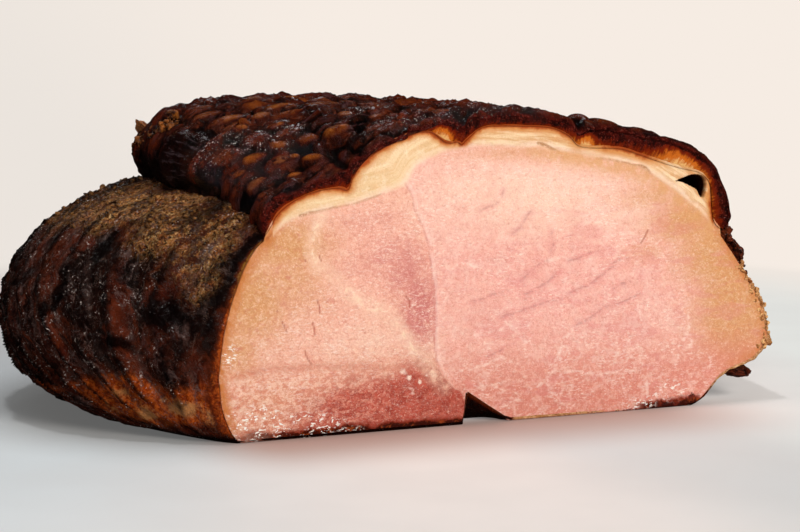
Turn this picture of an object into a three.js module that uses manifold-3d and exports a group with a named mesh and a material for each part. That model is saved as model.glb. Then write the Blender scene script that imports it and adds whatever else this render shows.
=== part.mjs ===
// A roast pork joint with its rind on, cut straight across. Millimetres, +Z up, cut face towards -Y.
//
// The joint is one solid. Two closed bodies are shaped and then fused: the meat, which swells to the left
// behind the cut, and the cap of fat and rind that lies on it and overhangs its left shoulder. Each body
// is a lens-shaped section, an under line and an over line, carried from the cut face to the far end.
import * as THREE from "three";
import Module from "manifold-3d";
import { mergeVertices } from "three/addons/utils/BufferGeometryUtils.js";

// Driving dimensions
const CUT_WIDTH = 195; // widest reach of the cut face
const JOINT_HEIGHT = 102; // table to the top of the rind, between its blisters
const MEAT_DEPTH = 150; // cut face to the far end of the meat
const RIND_DEPTH = 123; // cut face to the far edge of the rind
const SWELL_DEPTH = 62; // behind the cut, where the section is at its fullest

// How the two bodies round off towards their far ends
const MEAT_CORNER = 2.5; // 2 is a plain round end, more is squarer
const MEAT_END = 0.1; // what is left of the section in the flat middle of the end
const RIND_CORNER = { start: 84, squareness: 2.6, left: 0.55 }; // seen from above
const RIND_EDGE = { start: 96, squareness: 2.2, left: 0.06 }; // seen from the side

// Relief of the rind
const BLISTER_LENGTH = 12; // along the top, from side to side
const BLISTER_WIDTH = 9; // from front to back
const BLISTER_HEIGHT = 4.4;
const BLISTER_BEND = 3; // how far their rows stray
const SCORE_PLACES = [0.22, 0.419, 0.625]; // knife cuts that run back from the cut, as shares of its width
const SCORE_DEPTH = 4;
const SCORE_WIDTH = 2.6; // from the middle of a knife cut to its shoulder
const RIND_PROUD = 0.5; // the fat stands this far in front of the shrunken meat
const RIND_SUNK = 5; // the fat reaches this far down into the meat behind the cut

// Relief of the meat's browned sides
const FURROW_SPACING = 13; // between the furrows that run down the sides
const FURROW_DEPTH = 1.5;
const FURROW_BEND = 5;
const CRAG_SIZE = 8;
const CRAG_HEIGHT = 1.3;
const LUMP_SIZE = 38; // slow unevenness of the whole body
const LUMP_HEIGHT = 1.8;

// The dark gap under the seam between the two muscles
const GAP_PLACE = 0.426; // of the cut's width
const GAP_WIDTH = 16;
const GAP_HEIGHT = 10.3;
const GAP_DEPTH = 58;

// The pocket where the rind has lifted off the fat, near its right-hand edge
const POCKET_PLACE = { across: 85, depth: 0, up: 74 };
const POCKET_WIDTH = 12;
const POCKET_HEIGHT = 8;
const POCKET_DEPTH = 20;

// Loose-edged scraps of crust: place in hundredths and millimetres, half sizes, and turns in radians
const FLAP = { place: { across: 94.8, depth: 5, up: 10 }, half: [7, 5, 2.4], turn: [0.2, 0.1, 0.2] };
const SPUR = { place: { across: 99.6, depth: 3, up: 20 }, half: [3.6, 3, 2.2], turn: [0, 0.5, 0] };
const CORNER_FLAKE = { place: { across: 3, depth: 98, up: 87 }, half: [5.5, 9, 2], turn: [0.25, 0.9, 0.3] };

// Outlines, as [across, up] in hundredths of the cut's width and of the joint's height. Across is from the
// left-hand edge of the cut. Each pair of lines meets at its ends, and the same place in a line is the
// same place on the joint at the cut and where it is fullest. What is below the table is flattened on it.
const meatAtCut = {
  under: [[0, 20.5], [0.8, 9], [3.5, 0], [9, -1], [26, -1], [46.5, -1], [65, -1], [80, -1],
    [86, 1], [91, 10], [97, 14.5], [100, 20.5]],
  over: [[0, 20.5], [1, 34], [2.8, 46], [5.4, 57], [9, 63.5], [19, 73.5], [33, 81], [45, 89.5],
    [59.5, 87.5], [75, 80.5], [84, 69.5], [89, 59], [94.5, 45], [98.5, 32], [100, 20.5]],
};
const meatAtSwell = {
  under: [[-26.5, 31], [-24, 16.5], [-18, 6.5], [-7, -1], [16, -1], [44, -1], [65, -1], [80, -1],
    [89, -1], [96, 5], [100.5, 14], [102, 25.5]],
  over: [[-26.5, 31], [-24.9, 43.5], [-21, 54.5], [-16, 62.5], [-9, 69], [3, 74.5], [29, 82], [45, 86],
    [59.5, 86], [75, 80], [85, 72.5], [92.5, 61], [97.5, 49], [101, 37], [102, 25.5]],
};
const rindAtCut = {
  under: [[7.7, 62.7], [9.5, 66], [15, 69.5], [22, 71.5], [28, 75.5], [32.3, 78.5], [35, 84], [41.5, 88],
    [50, 88], [59, 86], [69.5, 82], [75, 79.5], [79, 74.5], [83.5, 68.5], [87, 63], [89.3, 59], [90.8, 58]],
  over: [[7.7, 62.7], [7.2, 69], [8.7, 75], [13.3, 78.5], [19, 81.5], [24.5, 86], [31, 92], [37.5, 96.5],
    [45, 98.5], [52.3, 99], [59.5, 97.5], [67, 94.5], [74.4, 91.5], [82.3, 88], [88.2, 81.5],
    [91, 71.5], [92.3, 62.5], [90.8, 58]],
};
const rindAtSwell = {
  under: [[2.5, 70.5], [6.5, 69], [12.5, 70.5], [20.5, 73.5], [28, 75.5], [34, 76.5], [37, 78.5], [43, 79.5],
    [50, 79.5], [59, 78.5], [70, 75.5], [76, 72.5], [80, 68.5], [84, 64.5], [87.7, 60], [89.3, 57], [91.5, 56]],
  over: [[2.5, 70.5], [0.2, 75], [-0.8, 81.5], [1, 89], [5.5, 95], [12.5, 98], [21, 99.3], [30, 99],
    [40, 98.3], [50.3, 97], [59.5, 95], [68.2, 92.7], [76.5, 90.5], [84.5, 87], [90.3, 80],
    [93, 70.5], [93.3, 61], [91.5, 56]],
};

/** A repeatable number from 0 to 1 for a cell and a purpose. */
function draw(i, j, purpose) {
  const wave = Math.sin(i * 127.1 + j * 311.7 + purpose * 74.7) * 43758.5453;
  return wave - Math.floor(wave);
}

/** Smooth noise from -1 to 1, one swell per unit of a and b. */
function swell(a, b, purpose) {
  const i = Math.floor(a);
  const j = Math.floor(b);
  const ease = (t) => t * t * (3 - 2 * t);
  const [u, v] = [ease(a - i), ease(b - j)];
  const near = THREE.MathUtils.lerp(draw(i, j, purpose), draw(i + 1, j, purpose), u);
  const far = THREE.MathUtils.lerp(draw(i, j + 1, purpose), draw(i + 1, j + 1, purpose), u);
  return 2 * THREE.MathUtils.lerp(near, far, v) - 1;
}

/** Height from 0 to 1 of crowded, uneven domes, about one per unit of a and b, with creases between them. */
function domes(a, b, purpose) {
  let height = 0;
  const [column, row] = [Math.floor(a), Math.floor(b)];
  for (let i = column - 1; i <= column + 1; i++) {
    for (let j = row - 1; j <= row + 1; j++) {
      const across = a - (i + 0.5 + 0.7 * (draw(i, j, purpose) - 0.5));
      const along = b - (j + 0.5 + 0.7 * (draw(i, j, purpose + 1) - 0.5));
      const reach = 0.62 + 0.3 * draw(i, j, purpose + 2);
      const rise = 0.45 + 0.55 * draw(i, j, purpose + 3);
      height = Math.max(height, rise * Math.sqrt(Math.max(0, 1 - (across ** 2 + along ** 2) / reach ** 2)));
    }
  }
  return height;
}

/** A point in millimetres, from hundredths across the cut and up the joint, and a depth behind the cut. */
function at({ across, depth = 0, up }) {
  return new THREE.Vector3((across / 100) * CUT_WIDTH, depth, (up / 100) * JOINT_HEIGHT);
}

/** A smooth line in the plane of the cut through marks given in hundredths. */
function smoothLine(marks) {
  const points = marks.map(([across, up]) => at({ across, up }));
  return new THREE.CatmullRomCurve3(points, false, "catmullrom", 0.5);
}

/** One line of a body as a function of the share along it and the share of the way to the fullest section. */
function blendedLine(atCut, atSwell) {
  const [cut, full] = [smoothLine(atCut), smoothLine(atSwell)];
  return (share, way) => cut.getPoint(share).lerp(full.getPoint(share), way);
}

const STEP = 0.002; // of a line, either side of the place where its direction is measured

/**
 * A closed body: the ring of each station goes along the under line and back along the over line, and the
 * first and last rings are closed by rows of points between their two lines.
 */
function lensBody({ atCut, atSwell, stations, columns, rows, blend, shape }) {
  const lines = [blendedLine(atCut.under, atSwell.under), blendedLine(atCut.over, atSwell.over)];
  const points = [];
  const faces = [];
  const ringSize = 2 * columns;
  for (const depth of stations) {
    for (let n = 0; n < ringSize; n++) {
      const over = n >= columns;
      const share = over ? 2 - n / columns : n / columns;
      const lineAt = (place) => lines[+over](THREE.MathUtils.clamp(place, 0, 1), blend(depth));
      const here = lineAt(share);
      const tangent = lineAt(share + STEP).sub(lineAt(share - STEP));
      const outward = new THREE.Vector3(-tangent.z, 0, tangent.x).multiplyScalar(over ? 1 : -1).normalize();
      points.push(shape(here, outward, depth, share, over));
    }
  }
  const quad = (a, b, c, d) => faces.push(a, b, c, a, c, d);
  for (let r = 0; r + 1 < stations.length; r++) {
    for (let n = 0; n < ringSize; n++) {
      const next = (n + 1) % ringSize;
      quad(r * ringSize + n, (r + 1) * ringSize + n, (r + 1) * ringSize + next, r * ringSize + next);
    }
  }
  const closeEnd = (ring, facesBack) => {
    const underAt = (n) => ring * ringSize + n;
    const overAt = (n) => ring * ringSize + ((ringSize - n) % ringSize);
    let below = underAt;
    for (let row = 1; row <= rows; row++) {
      const first = points.length;
      if (row < rows) {
        for (let n = 1; n < columns; n++) {
          points.push(points[underAt(n)].clone().lerp(points[overAt(n)], row / rows));
        }
      }
      const inner = (n) => (n === 0 || n === columns ? underAt(n) : first + n - 1);
      const above = row < rows ? inner : overAt;
      for (let n = 0; n < columns; n++) {
        const corners = [below(n), above(n), above(n + 1), below(n + 1)];
        quad(...(facesBack ? corners : corners.reverse()));
      }
      below = above;
    }
  };
  closeEnd(0, false);
  closeEnd(stations.length - 1, true);
  return solidFrom(points, faces);
}

/** A manifold solid from shared points and triangles, with collapsed triangles left out. */
function solidFrom(points, faces) {
  const geometry = new THREE.BufferGeometry()
    .setAttribute("position", new THREE.Float32BufferAttribute(points.flatMap((p) => [p.x, p.y, p.z]), 3))
    .setIndex(faces);
  const merged = mergeVertices(geometry, 1e-3);
  const kept = [];
  const index = merged.index.array;
  for (let i = 0; i < index.length; i += 3) {
    const [a, b, c] = index.slice(i, i + 3);
    if (a !== b && b !== c && c !== a) kept.push(a, b, c);
  }
  return new wasm.Manifold(new wasm.Mesh({
    numProp: 3,
    vertProperties: merged.attributes.position.array,
    triVerts: new Uint32Array(kept),
  }));
}

/** Depths from the front to the end, about a step apart, and closer towards the end where it rounds off. */
function stationsTo(end, step, start = 0) {
  const crowding = 0.16;
  const count = Math.round((end - start) / step);
  return Array.from({ length: count + 1 }, (_, n) => {
    const share = n / count;
    return start + (end - start) * (share + crowding * Math.sin(Math.PI * share) * share);
  });
}

/** How much of the section is left at a depth: all of it up to the start, then less, to what is left over. */
function closing(depth, end, { start, squareness, left }) {
  const share = THREE.MathUtils.clamp((depth - start) / (end - start), 0, 1);
  return Math.max(left, (1 - share ** squareness) ** (1 / squareness));
}

/** The meat: browned, furrowed sides that swell behind the cut, and a flat underside. */
function meatSolid() {
  const middle = at({ across: 42, up: 33 });
  const rounding = { start: SWELL_DEPTH, squareness: MEAT_CORNER, left: MEAT_END };
  return lensBody({
    atCut: meatAtCut,
    atSwell: meatAtSwell,
    stations: stationsTo(MEAT_DEPTH, 3.9),
    columns: 40,
    rows: 5,
    blend: (depth) => Math.sin((Math.PI / 2) * Math.min(1, depth / SWELL_DEPTH)) ** 0.8,
    shape: (point, outward, depth) => {
      const kept = closing(depth, MEAT_DEPTH, rounding);
      const along = point.x + point.z;
      const bend = FURROW_BEND * swell(along / 26, depth / 24, 3);
      const furrow = 0.5 * Math.cos((2 * Math.PI * (depth + bend)) / FURROW_SPACING) - 0.4;
      const uneven = 0.65 + 0.35 * swell(along / 26, depth / FURROW_SPACING, 5);
      const crag = domes(along / CRAG_SIZE, depth / CRAG_SIZE, 8) - 0.5;
      const lump = swell(along / LUMP_SIZE, depth / LUMP_SIZE, 14) * Math.min(1, depth / 30);
      const relief = FURROW_DEPTH * uneven * furrow + CRAG_HEIGHT * crag + LUMP_HEIGHT * lump;
      const fade = Math.min(1, depth / 5) * Math.sqrt(kept);
      point.addScaledVector(outward, fade * relief).sub(middle).multiplyScalar(kept).add(middle);
      point.y = depth;
      point.z = Math.max(0, point.z);
      return point;
    },
  });
}

/** How deep the knife cuts go into the rind at a place: 0 on whole rind, 1 in the middle of a cut. */
function scored(across, depth) {
  const cuts = SCORE_PLACES.map((place) => {
    const off = (across - place * CUT_WIDTH + 1.5 * swell(depth / 20, place * 9, 30)) / SCORE_WIDTH;
    return Math.exp(-off * off);
  });
  const shallower = 0.35 + 0.65 * Math.exp(-depth / 45);
  return shallower * Math.max(...cuts);
}

/** Fat and rind: a blistered cap that is scored from the cut backwards and hangs over the left shoulder. */
function rindSolid() {
  const middle = at({ across: 44, up: 65 });
  return lensBody({
    atCut: rindAtCut,
    atSwell: rindAtSwell,
    stations: stationsTo(RIND_DEPTH, 3.4, -RIND_PROUD),
    columns: 57,
    rows: 3,
    blend: (depth) => THREE.MathUtils.smoothstep(depth, 0, SWELL_DEPTH) ** 0.8,
    shape: (point, outward, depth, share, over) => {
      const fromFront = depth + RIND_PROUD;
      if (over) {
        const bend = BLISTER_BEND * swell(point.x / 17, depth / 17, 11);
        const lengthways = (point.x - 0.6 * point.z + bend) / BLISTER_LENGTH;
        const blister = domes(lengthways, (depth + bend) / BLISTER_WIDTH, 20) - 0.4;
        const flush = 0.35 + 0.65 * Math.min(1, fromFront / 6);
        const relief = flush * BLISTER_HEIGHT * blister - SCORE_DEPTH * scored(point.x, depth);
        point.addScaledVector(outward, relief * Math.sin(Math.PI * share) ** 0.3);
      } else {
        point.z -= RIND_SUNK * Math.min(1, fromFront / 4) * Math.sin(Math.PI * share) ** 0.7;
      }
      point.x = middle.x + (point.x - middle.x) * closing(depth, RIND_DEPTH, RIND_CORNER);
      point.z = middle.z + (point.z - middle.z) * closing(depth, RIND_DEPTH, RIND_EDGE);
      point.y = depth;
      return point;
    },
  });
}

/** A three-cornered hollow that opens in the cut face and runs back, ever smaller, to a depth. */
function taperedHollow(mouth, centre, depth) {
  const rings = [[-3, 1.05], [0.5 * depth, 0.75], [depth, 0.05]];
  const points = rings.flatMap(([y, size]) =>
    mouth.map(([x, z]) => new THREE.Vector3(x, 0, z).multiplyScalar(size).add(centre).setY(y)));
  const faces = [2, 1, 0, 6, 7, 8];
  for (let ring = 0; ring < 2; ring++) {
    for (let n = 0; n < 3; n++) {
      const [a, b] = [3 * ring + n, 3 * ring + ((n + 1) % 3)];
      faces.push(a, b, a + 3, b, b + 3, a + 3);
    }
  }
  return solidFrom(points, faces);
}

/** The gap under the seam: a steep left wall, a long slope on the right, and a mouth below the table. */
function seamGap() {
  const below = -2;
  const mouth = [[0, GAP_HEIGHT], [1.12 * GAP_WIDTH, below], [-0.08 * GAP_WIDTH, below]];
  return taperedHollow(mouth, at({ across: 100 * GAP_PLACE, up: 0 }), GAP_DEPTH);
}

/** The pocket between fat and rind: a point on the left that widens to the right. */
function fatPocket() {
  const mouth = [
    [-0.58 * POCKET_WIDTH, 0],
    [0.3 * POCKET_WIDTH, 0.32 * POCKET_HEIGHT],
    [0.36 * POCKET_WIDTH, -0.68 * POCKET_HEIGHT],
  ];
  return taperedHollow(mouth, at(POCKET_PLACE), POCKET_DEPTH);
}

/** A crisp scrap of crust: a ball squeezed to its half sizes and roughened. */
function scrap({ place, half, turn }) {
  const ball = mergeVertices(new THREE.IcosahedronGeometry(1, 2).deleteAttribute("normal").deleteAttribute("uv"));
  const turned = new THREE.Matrix4().makeRotationFromEuler(new THREE.Euler(...turn));
  const points = [];
  for (let n = 0; n < ball.attributes.position.count; n++) {
    const point = new THREE.Vector3().fromBufferAttribute(ball.attributes.position, n);
    point.multiplyScalar(1 + 0.28 * swell(2 * point.x + 5, 2 * point.y + 3 * point.z + 5, place.across));
    points.push(point.multiply(new THREE.Vector3(...half)).applyMatrix4(turned).add(at(place)));
  }
  return solidFrom(points, [...ball.index.array]);
}

/** The whole joint: meat and rind fused, the loose scraps joined on, and the two hollows cut. */
function jointSolid() {
  const scraps = [FLAP, SPUR, CORNER_FLAKE].map(scrap);
  const fused = [rindSolid(), ...scraps].reduce((whole, piece) => whole.add(piece), meatSolid());
  return fused.subtract(seamGap()).subtract(fatPocket());
}

/** The solid as a mesh whose box stands on the table, centred on the origin. */
function meshOf(solid, name, material) {
  const { vertProperties, triVerts } = solid.getMesh();
  const geometry = new THREE.BufferGeometry()
    .setAttribute("position", new THREE.BufferAttribute(vertProperties, 3))
    .setIndex(new THREE.BufferAttribute(triVerts, 1));
  geometry.computeBoundingBox();
  const centre = geometry.boundingBox.getCenter(new THREE.Vector3());
  geometry.translate(-centre.x, -centre.y, -geometry.boundingBox.min.z);
  geometry.computeVertexNormals();
  const mesh = new THREE.Mesh(geometry, material);
  mesh.name = name;
  return mesh;
}

const wasm = await Module();
wasm.setup();

const roast = new THREE.MeshStandardMaterial({ color: 0x5a2a16, roughness: 0.5, metalness: 0 });
const joint = new THREE.Group();
joint.add(meshOf(jointSolid(), "pork_joint", roast));

export default joint;
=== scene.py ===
"""The looks of a roast pork joint: its cut face, its browned sides and its blistered rind.

Shapes are worked out in millimetres: x across the cut from its left-hand end, y back from the cut and z up
from the table. placed() puts them into the frame, in metres. Outlines are marks in hundredths of the cut's
width and of the joint's height, joined by smooth lines, as in the solid that these pieces stand for.
"""
import math
from types import SimpleNamespace

import bpy
import numpy as np
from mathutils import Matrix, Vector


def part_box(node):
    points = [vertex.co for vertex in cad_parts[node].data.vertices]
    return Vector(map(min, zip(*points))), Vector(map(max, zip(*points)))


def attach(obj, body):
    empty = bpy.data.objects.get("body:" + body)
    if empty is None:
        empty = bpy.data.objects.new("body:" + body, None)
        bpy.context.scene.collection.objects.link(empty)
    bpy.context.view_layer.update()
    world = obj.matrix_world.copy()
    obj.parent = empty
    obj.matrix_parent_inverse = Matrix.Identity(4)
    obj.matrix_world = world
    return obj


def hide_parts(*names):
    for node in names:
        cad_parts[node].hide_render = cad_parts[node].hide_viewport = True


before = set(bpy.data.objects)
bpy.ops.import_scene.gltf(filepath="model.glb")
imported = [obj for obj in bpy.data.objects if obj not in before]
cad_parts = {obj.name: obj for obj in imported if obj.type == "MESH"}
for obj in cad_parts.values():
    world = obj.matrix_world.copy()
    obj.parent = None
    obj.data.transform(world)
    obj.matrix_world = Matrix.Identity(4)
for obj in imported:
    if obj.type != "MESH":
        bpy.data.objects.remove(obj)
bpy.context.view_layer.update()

# ---------------------------------------------------------------- sizes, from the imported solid

NODE = "pork_joint"
MM = 0.001
box_low, box_high = (np.array(corner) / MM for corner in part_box(NODE))
box_size = box_high - box_low
CUT_WIDTH = 0.778 * box_size[0]  # the rest of the width is the swell behind the cut, on the left
JOINT_HEIGHT = 0.987 * box_size[2]
MEAT_DEPTH = 0.996 * box_size[1]
RIND_DEPTH = 0.82 * MEAT_DEPTH
SWELL_DEPTH = 0.413 * MEAT_DEPTH  # where the section is at its fullest
CUT_LEFT = box_low[0] + 0.205 * box_size[0]
CUT_PLANE = box_low[1] + 0.5  # the meat's grain stands out a little before it

# ---------------------------------------------------------------- outlines, [across, up] in hundredths

MEAT_AT_CUT = {
    "under": [[0, 20.5], [0.8, 9], [3.5, 0], [9, -1], [26, -1], [46.5, -1], [65, -1], [80, -1],
              [86, 1], [91, 10], [97, 14.5], [100, 20.5]],
    "over": [[0, 20.5], [1, 34], [2.8, 46], [5.4, 57], [9, 63.5], [19, 73.5], [33, 81], [45, 89.5],
             [59.5, 87.5], [75, 80.5], [84, 69.5], [89, 59], [94.5, 45], [98.5, 32], [100, 20.5]],
}
MEAT_AT_SWELL = {
    "under": [[-26.5, 31], [-24, 16.5], [-18, 6.5], [-7, -1], [16, -1], [44, -1], [65, -1], [80, -1],
              [89, -1], [96, 5], [100.5, 14], [102, 25.5]],
    "over": [[-26.5, 31], [-24.9, 43.5], [-21, 54.5], [-16, 62.5], [-9, 69], [3, 74.5], [29, 82], [45, 86],
             [59.5, 86], [75, 80], [85, 72.5], [92.5, 61], [97.5, 49], [101, 37], [102, 25.5]],
}
RIND_AT_CUT = {
    "under": [[7.7, 62.7], [9.5, 66], [15, 69.5], [22, 71.5], [28, 75.5], [32.3, 78.5], [35, 84], [41.5, 88],
              [50, 88], [59, 86], [69.5, 82], [75, 79.5], [79, 74.5], [83.5, 68.5], [87, 63], [89.3, 59],
              [90.8, 58]],
    "over": [[7.7, 62.7], [7.2, 69], [8.7, 75], [13.3, 78.5], [19, 81.5], [24.5, 87.8], [31, 94.2], [37.5, 97],
             [45, 98.5], [52.3, 99], [59.5, 97.5], [67, 94.5], [74.4, 91.5], [82.3, 88], [88.2, 81.5],
             [91, 71.5], [92.3, 62.5], [90.8, 58]],
}
RIND_AT_SWELL = {
    "under": [[2.5, 70.5], [6.5, 69], [12.5, 70.5], [20.5, 73.5], [28, 75.5], [34, 76.5], [37, 78.5],
              [43, 79.5], [50, 79.5], [59, 78.5], [70, 75.5], [76, 72.5], [80, 68.5], [84, 64.5],
              [87.7, 60], [89.3, 57], [91.5, 56]],
    "over": [[2.5, 70.5], [0.2, 75], [-0.8, 81.5], [1, 89], [5.5, 95], [12.5, 98], [21, 99.3], [30, 99],
             [40, 98.3], [50.3, 97], [59.5, 95], [68.2, 92.7], [76.5, 90.5], [84.5, 87], [90.3, 80],
             [93, 70.5], [93.3, 61], [91.5, 56]],
}
# Where rind turns to fat on the cut, dipping at the three knife scores
RIND_UNDERSIDE = [[7.7, 62.7], [8.9, 66], [9.9, 69.2], [11.5, 71.9], [13.8, 74.4], [16.9, 76.3], [20.4, 76.9],
                  [21.9, 76], [22.7, 79.6], [23.9, 83], [25.1, 85.3], [27, 87.6], [29, 89.6], [31.2, 91.2],
                  [33, 92.5], [34.5, 93.2], [36.2, 93.1], [37.5, 91.5], [38.7, 89.9], [40, 89.4], [40.9, 89.9],
                  [41.6, 88.7], [42.4, 90.1], [43.4, 91.6], [44.6, 93.4], [46.7, 94.4], [52.1, 94.1],
                  [56.6, 93.6], [59, 92.5], [61.2, 90.2], [62.5, 87.5], [64.9, 86.5], [70.5, 85.8],
                  [74.3, 83.6], [78.1, 81.1], [81.9, 78.9], [85.3, 77.4], [87, 75.3], [87.8, 72.6],
                  [88.1, 67.9], [88.4, 62.4], [89.3, 59.2], [90.8, 58]]
FAT_LINE = [[8.9, 62.4], [11.3, 66.9], [15, 69.4], [19.2, 70.8], [25, 73], [30.9, 76.3], [32.3, 78.5],
            [33.5, 82.5], [36.6, 85.5], [41.5, 88], [49.7, 88], [59, 86.2], [70, 81.8], [74.7, 79.4],
            [79.1, 74.5], [83.6, 68.3], [87.2, 62.3], [88.8, 58.7]]
POCKET = [[81.2, 74.7], [82.6, 75.6], [84.1, 76.4], [85.9, 76.3], [86.9, 75], [87.1, 72], [86.5, 69],
          [85.8, 69.8], [85.2, 71.8], [84, 73], [82.8, 74.1]]
# The dark seam between the two muscles, and a broad pale one inside the left-hand muscle
MAIN_SEAM = [[31.5, 78.5], [32.5, 74.8], [33.5, 69.1], [35.2, 61.2], [36.3, 52.6], [36.9, 40.6], [36.9, 27.9],
             [37.6, 19.9], [39.7, 13.1], [42.3, 9.3], [42.5, 0]]
PALE_SEAM = [[17.5, 69.2], [16.2, 63.8], [15.8, 58.3], [16.8, 54.2], [19.2, 49.4], [24.3, 41], [28.8, 36.8],
             [30.7, 32.8], [34.4, 23.1], [38.7, 12.4]]
# Brown lines between the layers of fat
LAYER_LINES = [
    [[55.4, 88.3], [58, 86.6], [60.5, 84.2], [63.5, 82.7], [66.8, 82.5], [70.6, 81.3], [74.4, 78.8],
     [76.7, 75.4], [79.2, 71.6], [82.1, 67.8], [84.5, 63.7], [86.4, 60.2]],
    [[72.9, 80.2], [75.3, 79.3], [76.5, 76.7], [77.5, 74]],
    [[13.8, 69.2], [18.9, 70.6], [22, 71.3], [27.5, 74]],
]
WHITE_THREADS = [
    [[40.8, 30.9], [42.1, 29.2], [45.1, 28.8], [48.4, 29.7], [50.6, 29.8]],
    [[49.6, 32.1], [50.9, 29.7], [52, 27.7], [53.5, 25.2]],
    [[50.9, 29.4], [52.6, 29.8], [53.7, 31]],
    [[41.2, 17.5], [44.8, 18.3], [47, 19.6], [48.8, 21], [50.2, 19.5], [53.2, 17.2]],
    [[55.8, 10.6], [57.2, 12.7], [58.9, 15.4], [59.1, 18.7], [60.2, 23.1], [61.3, 26.5],
     [62.7, 29.3], [65.3, 31.6]],
    [[57.4, 12.7], [57.8, 9.7], [58.4, 7]],
    [[59.1, 14.7], [62.6, 14.6], [67.3, 13], [71.5, 12.8], [74.6, 14], [75.3, 15.9]],
    [[74.6, 13.3], [76, 9.2], [76.4, 4.8]],
    [[72.6, 19.5], [74.1, 21.3], [75.9, 19.8]],
    [[81.1, 18.5], [82.8, 20.9], [83.9, 23.8], [84.5, 27], [84.3, 30]],
    [[84.1, 24.1], [84.9, 21.3], [83.8, 19.5]],
    [[87.1, 17.7], [88.7, 14.5], [88.2, 11.2]],
    [[44.8, 11.2], [47.3, 12.1], [49.2, 9.9], [51, 7.4]],
    [[49.4, 4.7], [51.9, 6.6], [54.5, 4.6]],
    [[73.6, 37.8], [74.4, 34.5], [75, 29.1]],
    [[56.9, 50.6], [59.6, 51.6], [62.4, 50.1]],
    [[40.6, 50.3], [42, 51.4], [45.1, 49.9]],
    [[31.5, 20], [32.3, 15.5], [33.2, 11.5]],
]
FAINT_LINES = [[[3.3, 21], [7.3, 22], [12, 22.3], [22.2, 21.6], [31.6, 19.7]]]
GREY_LINES = [
    [[45.2, 68.2], [47.2, 69.6], [48.4, 71.7], [49.1, 73.9]],
    [[50.8, 60.4], [52.4, 62.2], [53.5, 65.3], [54.2, 67.1]],
    [[57.9, 60.1], [58.3, 56.6], [57.9, 54]],
    [[49.8, 42.4], [52.5, 45], [54.7, 48.6], [57.2, 50.9]],
    [[52.7, 40.4], [56.2, 43], [58.4, 45.3], [59.8, 48.1]],
    [[61.4, 40.1], [64.5, 41.8], [66, 43.2], [68.2, 46.2], [69.5, 47.7]],
    [[61.1, 50.2], [63.1, 51.3], [65.6, 53.6]],
    [[69.3, 48.7], [71.2, 50.5]],
    [[48.7, 33.5], [53.8, 36.1], [56.9, 37.4], [59.9, 38]],
    [[62.7, 29.3], [65.3, 31.6], [67.2, 34], [71, 35.8], [74.7, 38.4]],
    [[45.9, 21], [48.4, 22.6], [50.9, 24.6]],
    [[43.3, 39.2], [46.2, 40.5], [49.2, 42.1]],
    [[69.6, 40.2], [70.9, 41.7], [72.8, 42.2]],
]
DARK_SLITS = [
    [[15.9, 35.8], [16.3, 31.7]],
    [[14.5, 27.3], [14.9, 25], [15.7, 22.7]],
    [[16.6, 42.8], [17, 40.6], [17.1, 38.7]],
    [[17, 56.4], [17.3, 54.8]],
    [[31.8, 42.4], [32.5, 40.8], [32.5, 38.9]],
    [[10.7, 36.7], [11.5, 33.5]],
    [[9.9, 40.2], [10, 39.5]],
    [[2.9, 41.9], [3.1, 41]],
    [[3.6, 43.3], [3.9, 42.7]],
    [[14.5, 55.4], [14.8, 54.7]],
    [[23.8, 69.3], [24, 69]],
    [[74.8, 55], [75.5, 56.9], [76.1, 59.2]],
]
CUT_STROKES = {"pale_seam": [PALE_SEAM], "thread": WHITE_THREADS, "grey": GREY_LINES, "faint": FAINT_LINES}
# Patches on the cut: [across, up, half-width, half-height, strength]. thin is where the rind's brown fades far
# # into the fat, and wet is glossier and gets painted white glints.
CUT_PATCHES = {
    "tan": [[7, 10, 8, 9, 0.6], [5, 45, 8, 18, 1], [11, 60, 9, 10, 1], [3, 28, 5, 12, 0.8],
            [12, 50, 8, 16, 0.7], [98, 32, 12, 25, 1.5], [92, 50, 11, 14, 1.2], [85, 61, 10, 9, 1],
            [77, 70, 9, 6, 0.6], [76, 52, 6, 5, 0.5], [52, 86, 20, 4, 0.5]],
    "rosy": [[60, 42, 22, 22, 1], [45, 55, 8, 20, 0.8], [30, 55, 10, 14, 0.4]],
    "pale": [[55, 72, 18, 12, 1], [44, 74, 10, 9, 0.8], [72, 66, 10, 8, 0.7], [26, 28, 9, 6, 0.6],
             [36, 24, 3, 7, 0.6]],
    "stain": [[80, 0.5, 5, 2, 1], [73, -0.5, 5, 1.6, 0.9], [85, 3, 2, 2, 0.6]],
    "spot": [[31.4, 18.6, 0.8, 1.3, 1], [32.6, 16.5, 0.6, 1.4, 1], [34.4, 14.8, 0.5, 1.2, 1],
             [35.6, 16.8, 0.5, 0.9, 0.9]],
    "thin": [[64.5, 86, 3, 8, 0.6], [82, 79, 5, 10, 1]],
    "wet": [[6, 6, 6, 6, 1], [13, 4, 8, 4, 1.2], [14, 1.5, 14, 1.8, 0.7], [75, 2, 4, 3, 0.7],
            [2, 27, 2, 5, 0.7], [60, 20, 5, 5, 0.45], [70, 18, 8, 4, 0.4], [80, 6, 7, 5, 0.6],
            [40, 30, 2.5, 9, 0.3], [26, 40, 3, 3, 0.4]],
}
DEEP_LEFT = [[34.5, 38, 4, 14, 1], [32, 50, 4, 12, 0.7], [30, 55, 7, 9, 0.5], [24, 52, 6, 4, 0.35],
             [26, 66, 8, 5, 0.35]]
DEEP_RIGHT = [[46, 33, 6, 6, 0.3], [70, 30, 7, 8, 0.25], [48, 52, 5, 3, 0.3]]
RED_MEAT = [[36, 7, 9, 13, 1.2], [40, 13, 3.5, 8, 1], [26, 7, 11, 11, 1], [17, 4, 9, 8, 0.6]]

# ---------------------------------------------------------------- repeatable randomness on whole arrays


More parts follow.
